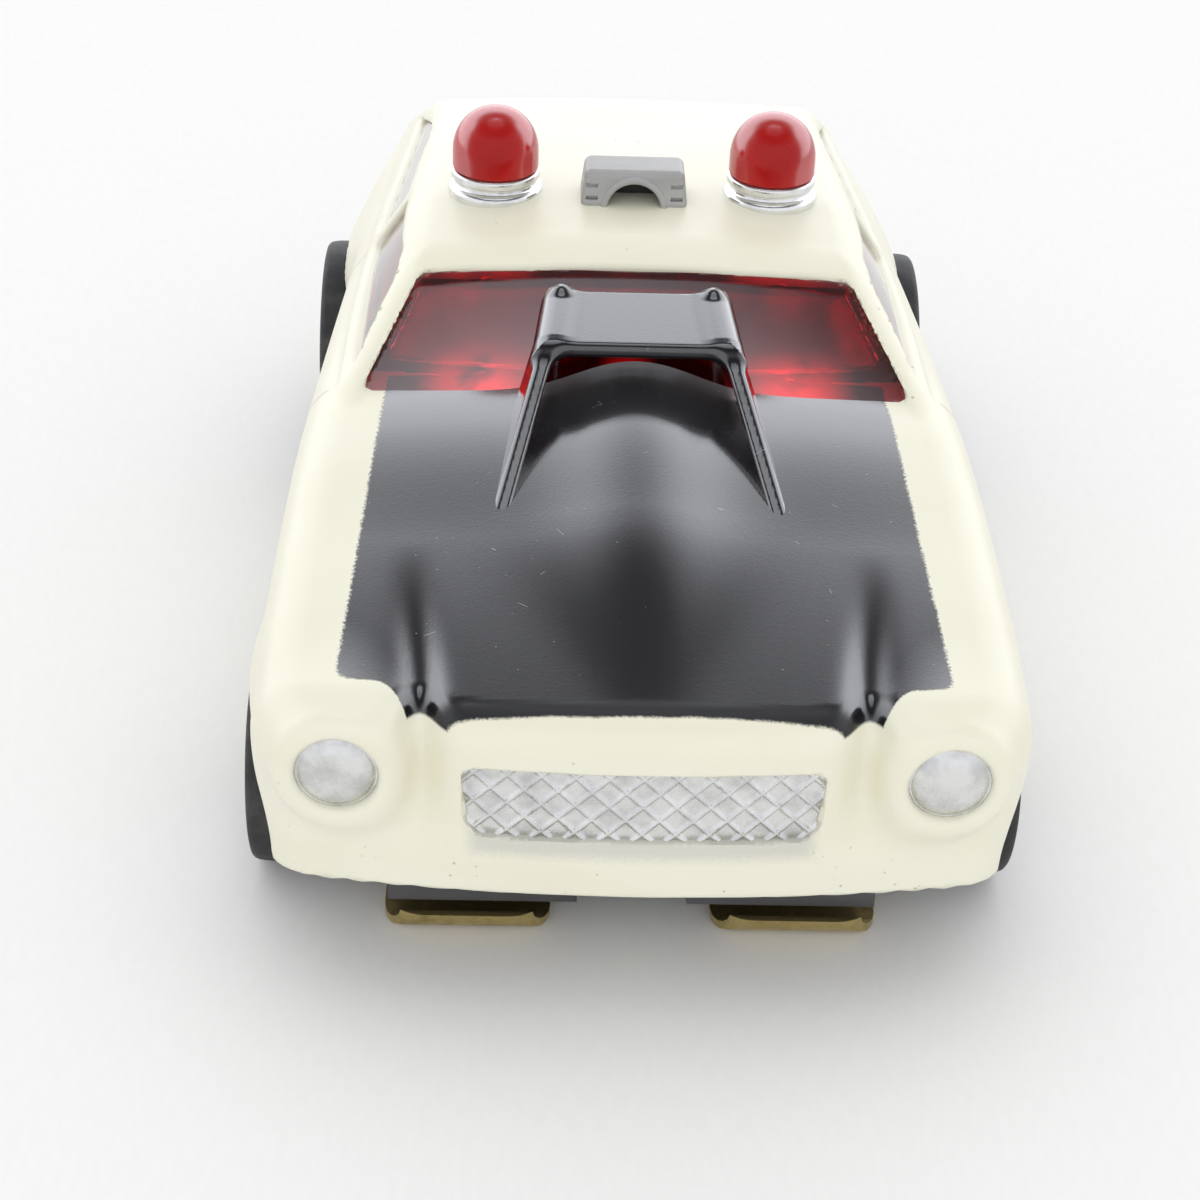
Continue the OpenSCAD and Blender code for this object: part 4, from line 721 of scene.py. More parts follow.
@dataclass(frozen=True)
class ClearRed:
    """Clear red plastic with swirls and small scuffs, and where asked a painted red glow at the windshield's
    foot.
    """

    name: str
    colour: Colour = (0.62, 0.012, 0.016)
    deep: Colour = (0.36, 0.006, 0.010)
    rough: float = 0.07
    clear: float = 0.95
    coat: float = 1.0
    shine: float = 0.5
    # Whether emission paints a red glow where light through the windows would brighten the plastic, and that
    # glow's colour
    glow: bool = True
    light: Colour = (0.95, 0.008, 0.010)
    # Height and depth of the painted glow at the windshield's foot, then middle and fade of its patches
    # across
    lit_z: tuple[float, float] = (18.5, 16.7)
    lit_y: tuple[float, float] = (-5.5, -9.0)
    lit_sides: tuple[float, float, float] = (6.9, 3.2, 0.2)
    lit_middle: tuple[float, float, float] = (-0.4, 1.5, 0.1)

    def material(self) -> bpy.types.Material:
        """Builds the material."""
        g = Graph(self.name)
        at = g.place()
        swirl = g.noise(at, 0.35, 3.0)
        scuff = g.noise(g.stretch(at, (1.0, 4.0, 1.0)), 2.2, 5.0, 0.7).step(0.58, 0.78)
        colour = g.mix(swirl.step(0.3, 0.7), self.colour, self.deep)
        rough = self.rough + 0.18 * scuff + 0.03 * swirl
        normal = g.bump(swirl + 0.3 * scuff, 0.12, 0.03)
        if self.glow:
            # Painted glow: emission stands in for light through the windows; the plastic is no lamp
            lit = g.mix(self.painted_glow_patches(g, at), (0.0, 0.0, 0.0), self.light)
            g.finish(Emission_Color=lit, Emission_Strength=1.0)
        g.finish(Coat_Weight=self.coat, Coat_Roughness=0.1, Coat_IOR=1.65)
        return g.finish(Base_Color=colour, Roughness=rough, Normal=normal, IOR=1.5,
                        Specular_IOR_Level=self.shine, Transmission_Weight=self.clear)

    def painted_glow_patches(self, g: Graph, at: Val) -> Val:
        """Share of the painted glow at the foot of the windshield, standing in for light coming through the
        plastic, from 0 to 1.
        """
        x, y, z = g.split(at)
        low = z.step(*self.lit_z) * y.step(*self.lit_y)
        place, *fade = self.lit_sides
        sides = abs(abs(x) - place).step(*fade)
        place, *fade = self.lit_middle
        middle = abs(x - place).step(*fade)
        return low * sides.math("MAXIMUM", middle) * g.noise(at, 0.5, 2.0).step(0.2, 0.6)


@dataclass(frozen=True)
class Rubber:
    """Black rubber with fine pores and dull, worn patches."""

    name: str
    colour: Colour = (0.018, 0.018, 0.019)
    worn: Colour = (0.06, 0.058, 0.055)

    def material(self) -> bpy.types.Material:
        """Builds the material."""
        g = Graph(self.name)
        at = g.place()
        pores = g.noise(at, 7.0, 4.0, 0.65)
        wear = g.noise(at, 0.9, 4.0).step(0.4, 0.75)
        colour = g.mix(wear * 0.7, self.colour, self.worn)
        rough = 0.62 + 0.25 * (pores - 0.5)
        return g.finish(Base_Color=colour, Roughness=rough, Normal=g.bump(pores, 0.35, 0.05))


@dataclass(frozen=True)
class ShellPaint:
    """Ivory plastic with a sprayed black hood, specks, fibres and a few painted marks."""

    name: str
    ivory: Colour = (0.84, 0.828, 0.69)
    ivory_shade: Colour = (0.82, 0.80, 0.65)
    black: Colour = (0.010, 0.010, 0.012)
    # Grey that darkens the ivory in a band along the grille's lower edge
    silver: Colour = (0.50, 0.50, 0.485)
    tail_red: Colour = (0.42, 0.015, 0.012)
    dirt: Colour = (0.30, 0.21, 0.12)
    line: Colour = (0.42, 0.34, 0.22)
    dust: Colour = (0.45, 0.45, 0.47)
    side_x: float = 11.75
    side_lean: float = -0.042
    side_y: float = -25.0
    front_y: float = -29.9
    corner_y: float = -28.1
    corner_r: float = 1.2
    step_x: tuple[float, float] = (8.0, 10.4)
    low_z: float = 13.45
    cowl_y: float = -7.8
    scoop_x: float = 6.7
    scoop_rear_y: float = -5.2
    # How far spray and the mask's wander move the panel's sides and its front
    side_blur: tuple[float, float] = (0.5, 0.12)
    front_blur: tuple[float, float] = (0.22, 0.2)
    # Where the paint is dull: along the front edge, and under the scoop's roof
    lip_y: tuple[float, float] = (-28.9, -29.5)
    under_y: tuple[float, float] = (-13.2, -11.6)
    under_x: tuple[float, float] = (4.6, 3.9)
    under_z: tuple[float, float] = (18.8, 18.5)
    # Middle and half length of a door, and its height
    door_y: tuple[float, float] = (-0.8, 7.3)
    door_z: tuple[float, float] = (5.2, 16.4)
    door_x: float = 12.0
    sill_z: float = 5.6
    hatch_x: float = 10.4
    hatch_z: tuple[float, float] = (7.8, 14.6)
    gate_z: float = 7.9
    tail_y: float = 28.0
    line_edge: tuple[float, float] = (0.2, 0.08)
    # Middle and half size of a tail lamp and of the grey band along the grille's foot, across and up
    tail_lamp: tuple[float, float, float, float] = (9.0, 2.2, 10.6, 1.1)
    grey_band_half: tuple[float, float] = (6.6, 1.0)
    grey_band_z: float = 9.2
    grey_band_y: tuple[float, float] = (-28.4, -29.2)
    # Height and depth between which the nose's dirt fades in
    dirt_z: tuple[float, float] = (9.2, 7.6)
    dirt_y: tuple[float, float] = (-28.0, -29.4)

    def hood_mask(self, g: Graph, at: Val) -> Val:
        """Where the hood is black, from 0 to 1, with a sprayed edge."""
        x, y, z = g.split(at)
        wide = abs(x)
        spray = g.noise(at, 7.5, 4.0, 0.8) - 0.5
        wander = g.noise(at, 0.45, 2.0) - 0.5
        side = wide - self.side_x - (y - self.side_y) * self.side_lean
        side = side + self.side_blur[0] * spray + self.side_blur[1] * wander
        front = self.front_y + (self.corner_y - self.front_y) * wide.step(*self.step_x) - y
        front = front + self.front_blur[0] * spray + self.front_blur[1] * wander
        low = self.low_z - z
        edge = side.math("SMOOTH_MAX", front, self.corner_r).math("MAXIMUM", low)
        beside_scoop = (y - self.scoop_rear_y).math("MAXIMUM", wide - self.scoop_x)
        rear = (y - self.cowl_y).math("MINIMUM", beside_scoop)
        return edge.math("MAXIMUM", rear).step(0.07, -0.07)

    def grooves(self, g: Graph, at: Val) -> Val:
        """Door, hatch and panel lines, 1 in a groove."""
        x, y, z = g.split(at)
        side = abs(x).step(self.door_x, self.door_x + 0.3)
        tail = y.step(self.tail_y, self.tail_y + 0.4)
        middle, half = self.door_y
        bottom, top = self.door_z
        doors = abs(abs(y - middle) - half).step(*self.line_edge) * z.step(bottom, bottom + 0.3)
        doors = doors * z.step(top, top - 0.2) * side
        sill = abs(z - self.sill_z).step(*self.line_edge)
        sill = sill * abs(y - middle).step(half + 0.1, half - 0.1) * side
        bottom, top = self.hatch_z
        hatch = abs(abs(x) - self.hatch_x).step(*self.line_edge) * z.step(bottom, bottom + 0.2)
        hatch = hatch * z.step(top, top - 0.2) * tail
        gate = abs(z - self.gate_z).step(*self.line_edge)
        gate = gate * abs(x).step(self.hatch_x + 0.1, self.hatch_x - 0.1) * tail
        return doors.math("MAXIMUM", sill).math("MAXIMUM", hatch.math("MAXIMUM", gate))

    def plastic(self, g: Graph, at: Val, grain: Val, groove: Val) -> Val:
        """Colour of the bare plastic with its dirt, a grey band along the grille's foot, tail lamps and
        lines.
        """
        x, y, z = g.split(at)
        flow = g.noise(g.stretch(at, (0.6, 1.0, 1.4)), 0.22, 3.0)
        ivory = g.mix(flow.step(0.3, 0.72), self.ivory, self.ivory_shade)
        specks = g.cells(at, 0.8).step(0.085, 0.03) * g.noise(at, 0.3, 2.0).step(0.5, 0.62)
        nose = g.cells(at, 1.9).step(0.16, 0.05) * z.step(*self.dirt_z) * y.step(*self.dirt_y)
        nose = nose * g.noise(at, 0.5, 2.0).step(0.48, 0.62)
        ivory = g.mix((specks + nose).math("MINIMUM", 1.0) * 0.6, ivory, self.dirt)
        # A grey band darkens the ivory along the lower edge of the grille's recess and just below it
        wide, tall = self.grey_band_half
        grey_band = (abs(x) - wide).math("SMOOTH_MAX", abs(z - self.grey_band_z) - tall, 0.6)
        grey_band = (grey_band + 0.5 * (grain - 0.5)).step(0.45, -0.35) * y.step(*self.grey_band_y)
        ivory = g.mix(grey_band * 0.55, ivory, self.silver)
        lamp_x, wide, lamp_z, tall = self.tail_lamp
        lamps = (abs(abs(x) - lamp_x) - wide).math("SMOOTH_MAX", abs(z - lamp_z) - tall, 0.4)
        lamps = (lamps + 0.1 * (grain - 0.5)).step(0.05, -0.05) * y.step(self.tail_y, self.tail_y + 0.3)
        return g.mix(groove * 0.35, g.mix(lamps, ivory, self.tail_red), self.line)

    def dull_paint(self, g: Graph, at: Val) -> Val:
        """Where the spray has dried dull, from 0 to 1."""
        x, y, z = g.split(at)
        under = y.step(*self.under_y) * abs(x).step(*self.under_x) * z.step(*self.under_z)
        return y.step(*self.lip_y).math("MAXIMUM", under)

    def material(self) -> bpy.types.Material:
        """Builds the material."""
        g = Graph(self.name)
        at = g.place()
        grain = g.noise(at, 8.0, 3.0, 0.6)
        groove = self.grooves(g, at)
        mask = self.hood_mask(g, at)
        dust = g.cells(at, 1.5).step(0.055, 0.025) * g.noise(at, 0.8, 2.0).step(0.42, 0.6)
        fibre = g.cells(at, 0.42, "DISTANCE_TO_EDGE").step(0.007, 0.002)
        fibre = fibre * g.noise(at, 0.9, 1.0).step(0.70, 0.74)
        marks = dust.math("MAXIMUM", fibre)
        paint = g.mix(marks * 0.5, self.black, self.dust)
        colour = g.mix(mask, self.plastic(g, at, grain, groove), paint)
        streak = g.noise(g.stretch(at, (2.4, 0.25, 1.0)), 0.9, 3.0)
        dull = self.dull_paint(g, at)
        gloss = 0.13 + 0.10 * (streak - 0.5) + 0.2 * marks + 0.4 * dull
        bare = 0.36 + 0.12 * (grain - 0.5)
        rough = gloss * mask + bare * (1 - mask)
        height = 0.4 * grain + 0.5 * mask - 1.6 * groove + 0.35 * marks
        return g.finish(Base_Color=colour, Roughness=rough, Normal=g.bump(height, 0.3, 0.05), IOR=1.5,
                        Coat_Weight=mask * (0.9 - 0.85 * dull), Coat_IOR=1.75, Coat_Roughness=0.12)


@dataclass(frozen=True)
class Skin:
    """A mesh in millimetres, with a normal at each point where it is known."""

    points: Array
    faces: list
    normals: Array | None = None

    def piece(self, name: str, material: bpy.types.Material, sharp: float = 40.0) -> bpy.types.Object:
        """Makes a Blender object in metres.

        Args:
            name: Name of the piece.
            material: Its finish.
            sharp: Edges that turn by more degrees than this stay crisp.

        Returns:
            The linked object.
        """
        mesh = bpy.data.meshes.new(name)
        mesh.from_pydata((self.points * MM).tolist(), [], [tuple(f) for f in self.faces])
        mesh.validate()
        mesh.polygons.foreach_set("use_smooth", np.ones(len(mesh.polygons), bool))
        mesh.set_sharp_from_angle(angle=math.radians(sharp))
        mesh.update()
        if self.normals is not None and len(mesh.vertices) == len(self.points):
            self.shade(mesh, math.cos(math.radians(sharp)))
        mesh.materials.append(material)
        made = bpy.data.objects.new(name, mesh)
        bpy.context.scene.collection.objects.link(made)
        return made

    def shade(self, mesh: bpy.types.Mesh, least: float) -> None:
        """Gives each corner the surface's own normal, or the face's where they disagree."""
        at = np.zeros(len(mesh.loops), np.int32)
        mesh.loops.foreach_get("vertex_index", at)
        size = np.zeros(len(mesh.polygons), np.int32)
        mesh.polygons.foreach_get("loop_total", size)
        flat = np.zeros(3 * len(mesh.polygons), np.float32)
        mesh.polygons.foreach_get("normal", flat)
        flat = np.repeat(flat.reshape(-1, 3), size, 0)
        own = self.normals[at]
        agree = (own * flat).sum(1) > least
        mesh.normals_split_custom_set(np.where(agree[:, None], own, flat).tolist())


def quads(rows: int, sides: int, closed: bool) -> list[tuple[int, ...]]:
    """Faces between rows of points that each go round once.

    Args:
        rows: Count of the rows.
        sides: Points in a row.
        closed: Whether the last row joins the first.

    Returns:
        Four point numbers for each face.
    """
    faces = []
    for i in range(rows if closed else rows - 1):
        near, far = i * sides, (i + 1) % rows * sides
        for j in range(sides):
            k = (j + 1) % sides
            faces.append((near + j, near + k, far + k, far + j))
    return faces


def lathe(profile: Iterable[tuple[float, float]], steps: int = 72) -> Skin:
    """Turns a closed profile about the Z axis.

    Args:
        profile: Radius and height of each point, in order round the section.
        steps: Faces round the axis.

    Returns:
        The turned skin.
    """
    ring = np.array(list(profile), float)
    n = len(ring)
    turn = np.arange(steps) * 2 * math.pi / steps
    points = np.stack([ring[None, :, 0] * np.cos(turn)[:, None], ring[None, :, 0] * np.sin(turn)[:, None],
                       np.broadcast_to(ring[None, :, 1], (steps, n))], 2).reshape(-1, 3)
    return Skin(points, quads(steps, n, True))


def tube(path: Array, radius: float, sides: int = 10) -> Skin:
    """Round wire along a path, closed at both ends.

    Args:
        path: Points of the middle line.
        radius: Radius of the wire.
        sides: Faces round the wire.

    Returns:
        The wire's skin.
    """
    ahead = np.gradient(path, axis=0)
    ahead /= np.linalg.norm(ahead, axis=1, keepdims=True)
    never_ahead = [0.31, 0.17, 0.93]
    side = np.cross(ahead, never_ahead)
    side /= np.linalg.norm(side, axis=1, keepdims=True)
    other = np.cross(ahead, side)
    turn = np.arange(sides) * 2 * math.pi / sides
    ring = np.cos(turn)[None, :, None] * side[:, None] + np.sin(turn)[None, :, None] * other[:, None]
    points = (path[:, None] + radius * ring).reshape(-1, 3)
    faces = quads(len(path), sides, False)
    last = (len(path) - 1) * sides
    faces += [tuple(range(sides))[::-1], tuple(range(last, last + sides))]
    return Skin(points, faces)


def rounded(corners: Iterable[tuple[float, float, float]], steps: int = 5) -> list[tuple[float, float]]:
    """Closed outline with a rounding at each corner.

    Args:
        corners: Two coordinates and a rounding for each corner, in order.
        steps: Points on each rounding.

    Returns:
        The outline's points.
    """
    spots = [np.array(c[:2], float) for c in corners]
    sizes = [c[2] for c in corners]
    out = []
    for k, spot in enumerate(spots):
        before, after = spots[k - 1] - spot, spots[(k + 1) % len(spots)] - spot
        reach = min(sizes[k], 0.49 * np.linalg.norm(before), 0.49 * np.linalg.norm(after))
        a = spot + before / np.linalg.norm(before) * reach
        b = spot + after / np.linalg.norm(after) * reach
        for t in (np.linspace(0, 1, steps) if sizes[k] > 0 else [0.5]):
            p = (1 - t) ** 2 * a + 2 * t * (1 - t) * spot + t**2 * b
            out.append((float(p[0]), float(p[1])))
    return out


class Side(Enum):
    """Left and right, seen from the front of the car."""

    LEFT = -1
    RIGHT = 1

    def name_of(self, piece: str) -> str:
        """Name of a piece on this side."""
        return f"{piece}_{self.name.lower()}"


def fit(piece: bpy.types.Object, body: str, slot: str, *nodes: str) -> None:
    """Makes a piece ride on a body and stand for the nodes it hides."""
    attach(piece, body)
    if nodes:
        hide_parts(*nodes)
    log.info("%s rides on %s", piece.name, body)


@dataclass(frozen=True)
class Shell:
    """The moulding, its red insert, the grille and the headlights."""

    form: ShellForm = ShellForm()
    cell: float = 0.35
    fine: tuple[tuple[int, float, float, float], ...] = (
        (0, 8.0, 13.5, 0.22), (1, -31.5, -28.6, 0.22), (1, -12.5, -1.5, 0.21), (2, 3.8, 6.6, 0.26),
        (2, 8.5, 12.7, 0.23), (2, 12.7, 14.6, 0.27), (2, 14.6, 21.6, 0.2))
    # Low and high corner of the right half of each contoured piece
    shell_box: Box = ((0, -31.4, 3.9), (16.9, 31.4, 21.6))
    scoop_box: Box = ((0, -19.8, 14.8), (6.9, -4.8, 21.0))
    glass_box: Box = ((0, -12.0, 15.2), (13.5, 28.4, 20.6))
    grille_box: Box = ((0, -31.1, 8.4), (7.6, -29.2, 12.6))
    glass_cell: float = 0.2
    scoop_cell: float = 0.11
    grille_cell: float = 0.075
    plate_half: tuple[float, float] = (7.05, 1.8)
    plate_y: float = -30.3
    plate_half_t: float = 0.17
    bar_y: float = -30.45
    bar_back_y: float = -30.2
    bar_r: float = 0.095
    bar_pitch: float = 1.3
    bar_flat: float = 0.7
    bar_inset: float = 0.12
    lens_y: float = -29.75
    # Radius, height and rounding of each corner of a headlight's section
    lens: tuple[tuple[float, float, float], ...] = (
        (0.01, 0.0, 0), (1.64, 0.0, 0.02), (1.64, 0.36, 0.03), (1.56, 0.40, 0.04), (1.5, 0.39, 0.03),
        (1.25, 0.58, 0.25), (0.88, 0.71, 0.25), (0.43, 0.785, 0.2), (0.01, 0.81, 0))

    def build(self) -> None:
        """Builds and dresses the pieces."""
        shell = Contour(*self.shell_box, self.cell, self.fine).mesh(self.form.shell)
        paint = ShellPaint("ivory_and_black").material()
        fit(shell.piece("shell_moulding", paint), "shell", "shell_ivory", "body_shell")
        scoop = Contour(*self.scoop_box, self.scoop_cell).mesh(self.form.scoop)
        fit(scoop.piece("hood_scoop", paint), "shell", "shell_ivory")
        glass = Contour(*self.glass_box, self.glass_cell).mesh(self.form.glass)
        red = ClearRed("red_glass").material()
        fit(glass.piece("window_insert", red), "shell", "red_clear", "window_glass")
        grille = Contour(*self.grille_box, self.grille_cell).mesh(self.lattice)
        silver = Silvered("silvered_trim").material()
        fit(grille.piece("grille_lattice", silver), "shell", "silver_trim", "grille")
        turn = Matrix.Rotation(math.radians(90), 3, "X")
        for side in Side:
            skin = lathe(rounded(self.lens, 4))
            at = [side.value * self.form.lamp[0], self.lens_y, self.form.lamp[1]]
            points = skin.points @ np.array(turn).T + at
            lens = Skin(points, skin.faces).piece(side.name_of("lens"), silver)
            fit(lens, "shell", "silver_trim", side.name_of("headlight"))

    def lattice(self, x: Array, y: Array, z: Array) -> Array:
        """Plate with two sets of crossing round bars inside a rounded frame."""
        x = np.abs(x)
        up = z - self.form.grille_z
        y = y - self.form.bow(x)
        half, tall = self.plate_half
        frame = rounded_max(x - half - self.form.grille_lean * up, np.abs(up) - tall, 0.8)
        plate = rounded_max(frame, np.abs(y - self.plate_y) - self.plate_half_t, 0.06)
        pitch = self.bar_pitch / math.sqrt(2)
        bars = np.full(x.shape, np.inf)
        for way in (1, -1):
            across = (x + way * up) / math.sqrt(2)
            off = across - pitch * np.round(across / pitch)
            bars = np.minimum(bars, np.hypot(off, (y - self.bar_y) * self.bar_flat) - self.bar_r)
        bars = np.maximum(bars, frame + self.bar_inset)
        return smooth_min(plate, np.maximum(bars, y - self.bar_back_y), 0.08)


@dataclass(frozen=True)
class RoofLights:
    """Two domed beacons on bright feet and the siren box between them."""

    beacon: tuple[float, float, float] = (6.6, 4.5, 20.4486)
    siren: tuple[float, float, float] = (0.0, 3.6, 20.7996)
    siren_half: tuple[float, float, float] = (2.55, 1.3, 0.9)
    base_h: float = 1.5
    dome_r: float = 2.05
    dome_h: float = 2.9
    dome_foot: float = 0.8
    axis_r: float = 0.012
    mouth_r: float = 1.3
    mouth_depth: float = 1.5
    siren_lean: float = 0.12
    siren_box: Box = ((0, -1.6, -1.2), (2.9, 1.6, 1.2))
    siren_cell: float = 0.07
    # Middle, half width and depth of the louvres, then their middle height, distance from it and half height
    louvre_x: tuple[float, float, float] = (2.0, 0.28, 0.3)
    louvre_z: tuple[float, float, float] = (-0.1, 0.3, 0.09)
    # Radius, height and rounding of each corner of a foot's section
    foot: tuple[Place, ...] = (
        (0.7, -1.4, 0.05), (0.7, 0.0, 0), (2.25, 0.0, 0.12), (2.25, 0.62, 0.2), (1.95, 0.74, 0.1),
        (1.92, 0.98, 0.06), (2.12, 1.04, 0.08), (2.12, 1.42, 0.1), (1.7, 1.5, 0.06), (0.02, 1.5, 0),
        (0.02, -1.4, 0))

    def dome_profile(self) -> list[tuple[float, float]]:
        """Half section of a dome: straight foot, then a round cap."""
        cap = self.dome_h - self.dome_foot
        turn = np.linspace(0, math.pi / 2, 18)
        line = [(self.dome_r - 0.06, 0.0), (self.dome_r, 0.06), (self.dome_r, 0.5 * self.dome_foot)]
        for a in turn:
            radius = self.dome_r * math.cos(a) ** 0.92
            line.append((max(self.axis_r, radius), self.dome_foot + cap * math.sin(a)))
        return line + [(self.axis_r, 0.0)]

    def build(self) -> None:
        """Builds and dresses the lights."""
        chrome = Silvered("bright_foot", (0.80, 0.80, 0.79), (0.62, 0.62, 0.61), 0.16).material()
        red = ClearRed("beacon_red", (0.50, 0.014, 0.012), (0.40, 0.010, 0.009), rough=0.16, clear=0.12,
                       coat=0.0, shine=0.18, glow=False).material()
        for side in Side:
            at = np.array([side.value * self.beacon[0], *self.beacon[1:]])
            skin = lathe(rounded(self.foot, 4), 96)
            foot = Skin(skin.points + at, skin.faces).piece(side.name_of("beacon_foot"), chrome)
            fit(foot, "shell", "silver_trim", side.name_of("beacon_base"))
            skin = lathe(self.dome_profile(), 96)
            points = skin.points + at + [0, 0, self.base_h]
            dome = Skin(points, skin.faces).piece(side.name_of("beacon_lens"), red)
            fit(dome, "shell", "beacon_red", side.name_of("beacon_dome"))
        # The horn mouth, whose inside the siren's grey plastic darkens with painted shade
        mouth = (self.siren[0], self.siren[1] - self.siren_half[1], self.siren[2], self.mouth_r)
        grey = Moulded("siren_plastic", (0.40, 0.40, 0.395), (0.33, 0.33, 0.33), 0.38, 9.0, mouth).material()
        box = Contour(*self.siren_box, self.siren_cell).mesh(self.siren_form)
        centre = np.array(self.siren) + [0, 0, self.siren_half[2]]
        siren = Skin(box.points + centre, box.faces, box.normals).piece("siren_box", grey)
        fit(siren, "shell", "siren_grey", "siren")

    def siren_form(self, x: Array, y: Array, z: Array) -> Array:
        """Rounded box with a half-round horn mouth and louvres beside it."""
        x = np.abs(x)
        a, b, c = self.siren_half
        lean = self.siren_lean * (z + c)
        body = rounded_max(rounded_max(x - a + lean, np.abs(y) - b + lean, 0.35), np.abs(z) - c, 0.3)
        mouth = np.hypot(x, z + c) - self.mouth_r
        body = rounded_max(body, -np.maximum(mouth, y + b - self.mouth_depth), 0.06)
        ring = np.hypot(mouth - 0.12, y + b - 0.06) - 0.16
        body = smooth_min(body, np.maximum(ring, -c - z), 0.06)
        middle, half, depth = self.louvre_x
        level, apart, tall = self.louvre_z
        louvre = np.maximum(np.abs(x - middle) - half, y + b - depth)
        louvre = np.maximum(np.abs(np.abs(z - level) - apart) - tall, louvre)
        return rounded_max(body, -louvre, 0.04)


@dataclass(frozen=True)
class Tyre:
    """Sizes of one axle's tyres in millimetres, as in the solids."""

    y: float
    z: float
    r: float
    width: float
    outer_x: float
    bore: float

    def profile(self) -> list[tuple[float, float]]:
        """Closed section with a groove in each wall."""
        bore, r, low = self.bore, self.r, -self.width / 2
        wall = r - bore
        half = ((bore, low + 0.25, 0.1), (bore + 0.12, low + 0.04, 0.1), (bore + 0.3 * wall, low, 0.1),
                (bore + 0.38 * wall, low + 0.09, 0.06), (bore + 0.52 * wall, low + 0.09, 0.06),
                (bore + 0.6 * wall, low, 0.1), (r - 0.1, low + 0.05, 0.45), (r, low + 0.6, 0.3))
        other = ((radius, -height, corner) for radius, height, corner in reversed(half))
        return rounded((*half, *other), 4)


@dataclass(frozen=True)
class Wheels:
    """Tyres that replace the plain ones, on the turned rims."""

    front: Tyre = Tyre(y=-19.5, z=4.6, r=4.6, width=3.6, outer_x=16.2, bore=3.0)
    rear: Tyre = Tyre(y=17.1, z=5.8, r=5.8, width=5.4, outer_x=16.1, bore=3.7)

    def build(self) -> None:
        """Builds and dresses the tyres."""
        rubber = Rubber("tyre_rubber").material()
        turn = np.array(Matrix.Rotation(math.radians(90), 3, "Y"))
        for end, size in (("front", self.front), ("rear", self.rear)):
            for side in Side:
                skin = lathe(size.profile(), 96)
                at = [side.value * (size.outer_x - size.width / 2), size.y, size.z]
                points = skin.points @ turn.T + at
                tyre = Skin(points, skin.faces).piece(side.name_of(f"{end}_rubber"), rubber)
                fit(tyre, f"{end}_wheels", "tyre_black", side.name_of(f"{end}_tyre"))


@dataclass(frozen=True)
class Running:
    """Shoe springs and motor coils of real wire."""

    spring_x: float = 6.9
    spring_y: float = -15.2
    spring_low: float = 0.5
    spring_high: float = 4.1
    spring_r: float = 1.1
    wire_r: float = 0.15
    curls: float = 4.5
    shoe_rise: float = 0.3
    motor_y: float = 0.3
    core_z: float = 5.2
    core_h: float = 3.0
    coil_start: float = 1.85
    coil_end: float = 3.95
    arm_half: float = 1.0
    coil_wire: float = 0.12
    pole_turn: float = 30.0
    poles: int = 3
    # Distance from the arm, turns and shortening of each layer of wire
    layers: tuple[tuple[float, int, float], ...] = ((0.15, 8, 0.0), (0.39, 7, 0.15))
    turn_steps: int = 24
    corner_power: float = 0.35
    # Clearance at each end of a spring, and the share of its closed end turns
    spring_gap: float = 0.05
    end_turn: float = 0.09
    end_climb: float = 0.14

    def build(self) -> None:
        """Builds and dresses the wire pieces."""
        steel = Metal("spring_wire", (0.62, 0.61, 0.59), (0.38, 0.34, 0.29), 0.28).material()
        copper = Metal("coil_wire", (0.72, 0.33, 0.16), (0.42, 0.15, 0.06), 0.25).material()
        t = np.linspace(0, 1, 260)
        height = self.spring_high - self.spring_low
        rise = height - 2 * self.wire_r - 2 * self.spring_gap
        steep = np.clip((t - self.end_turn) / (1 - 2 * self.end_turn), 0, 1)
        climb = steep * (1 - self.end_climb) + self.end_climb * t
        turn = 2 * math.pi * self.curls * t
        for side in Side:
            x = side.value * self.spring_x
            path = np.stack([x + self.spring_r * np.cos(turn), self.spring_y + self.spring_r * np.sin(turn),
                             self.spring_low + self.wire_r + self.spring_gap + rise * climb], 1)
            spring = tube(path, self.wire_r, 12).piece(side.name_of("spring_coil"), steel)
            fit(spring, "chassis", "steel", side.name_of("shoe_spring"))
            f"shoe_{side.name.lower()}_pivot"
            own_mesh(spring)
        points, faces = [], []
        for k in range(self.poles):
            skin = tube(self.coil_path(), self.coil_wire, 8)
            a = math.radians(self.pole_turn + 360 / self.poles * k)
            spin = np.array([[math.cos(a), -math.sin(a), 0], [math.sin(a), math.cos(a), 0], [0, 0, 1]])
            start = sum(len(p) for p in points)
            points.append(skin.points @ spin.T + [0, self.motor_y, self.core_z + self.core_h / 2])
            faces += [tuple(i + start for i in f) for f in skin.faces]
        coils = Skin(np.concatenate(points), faces).piece("wound_coils", copper)
        fit(coils, "armature", "copper", "armature_windings")

    def coil_path(self) -> Array:
        """Wire wound round one arm in two layers, out and back."""
        spots = []
        for layer, (gap, turns, short) in enumerate(self.layers):
            start, end = self.coil_start + self.coil_wire, self.coil_end - self.coil_wire - short
            along_arm = np.linspace(start, end, turns * self.turn_steps)
            if layer % 2:
                along_arm = along_arm[::-1]
            step = 2 * math.pi / self.turn_steps
            angle = np.arange(turns * self.turn_steps) * step + step / 2
            a, b = self.arm_half + gap, self.core_h / 2 + gap
            c, s = np.cos(angle), np.sin(angle)
            y = a * np.sign(c) * np.abs(c) ** self.corner_power
            z = b * np.sign(s) * np.abs(s) ** self.corner_power
            spots.append(np.stack([along_arm, y, z], 1))
        return np.concatenate(spots)


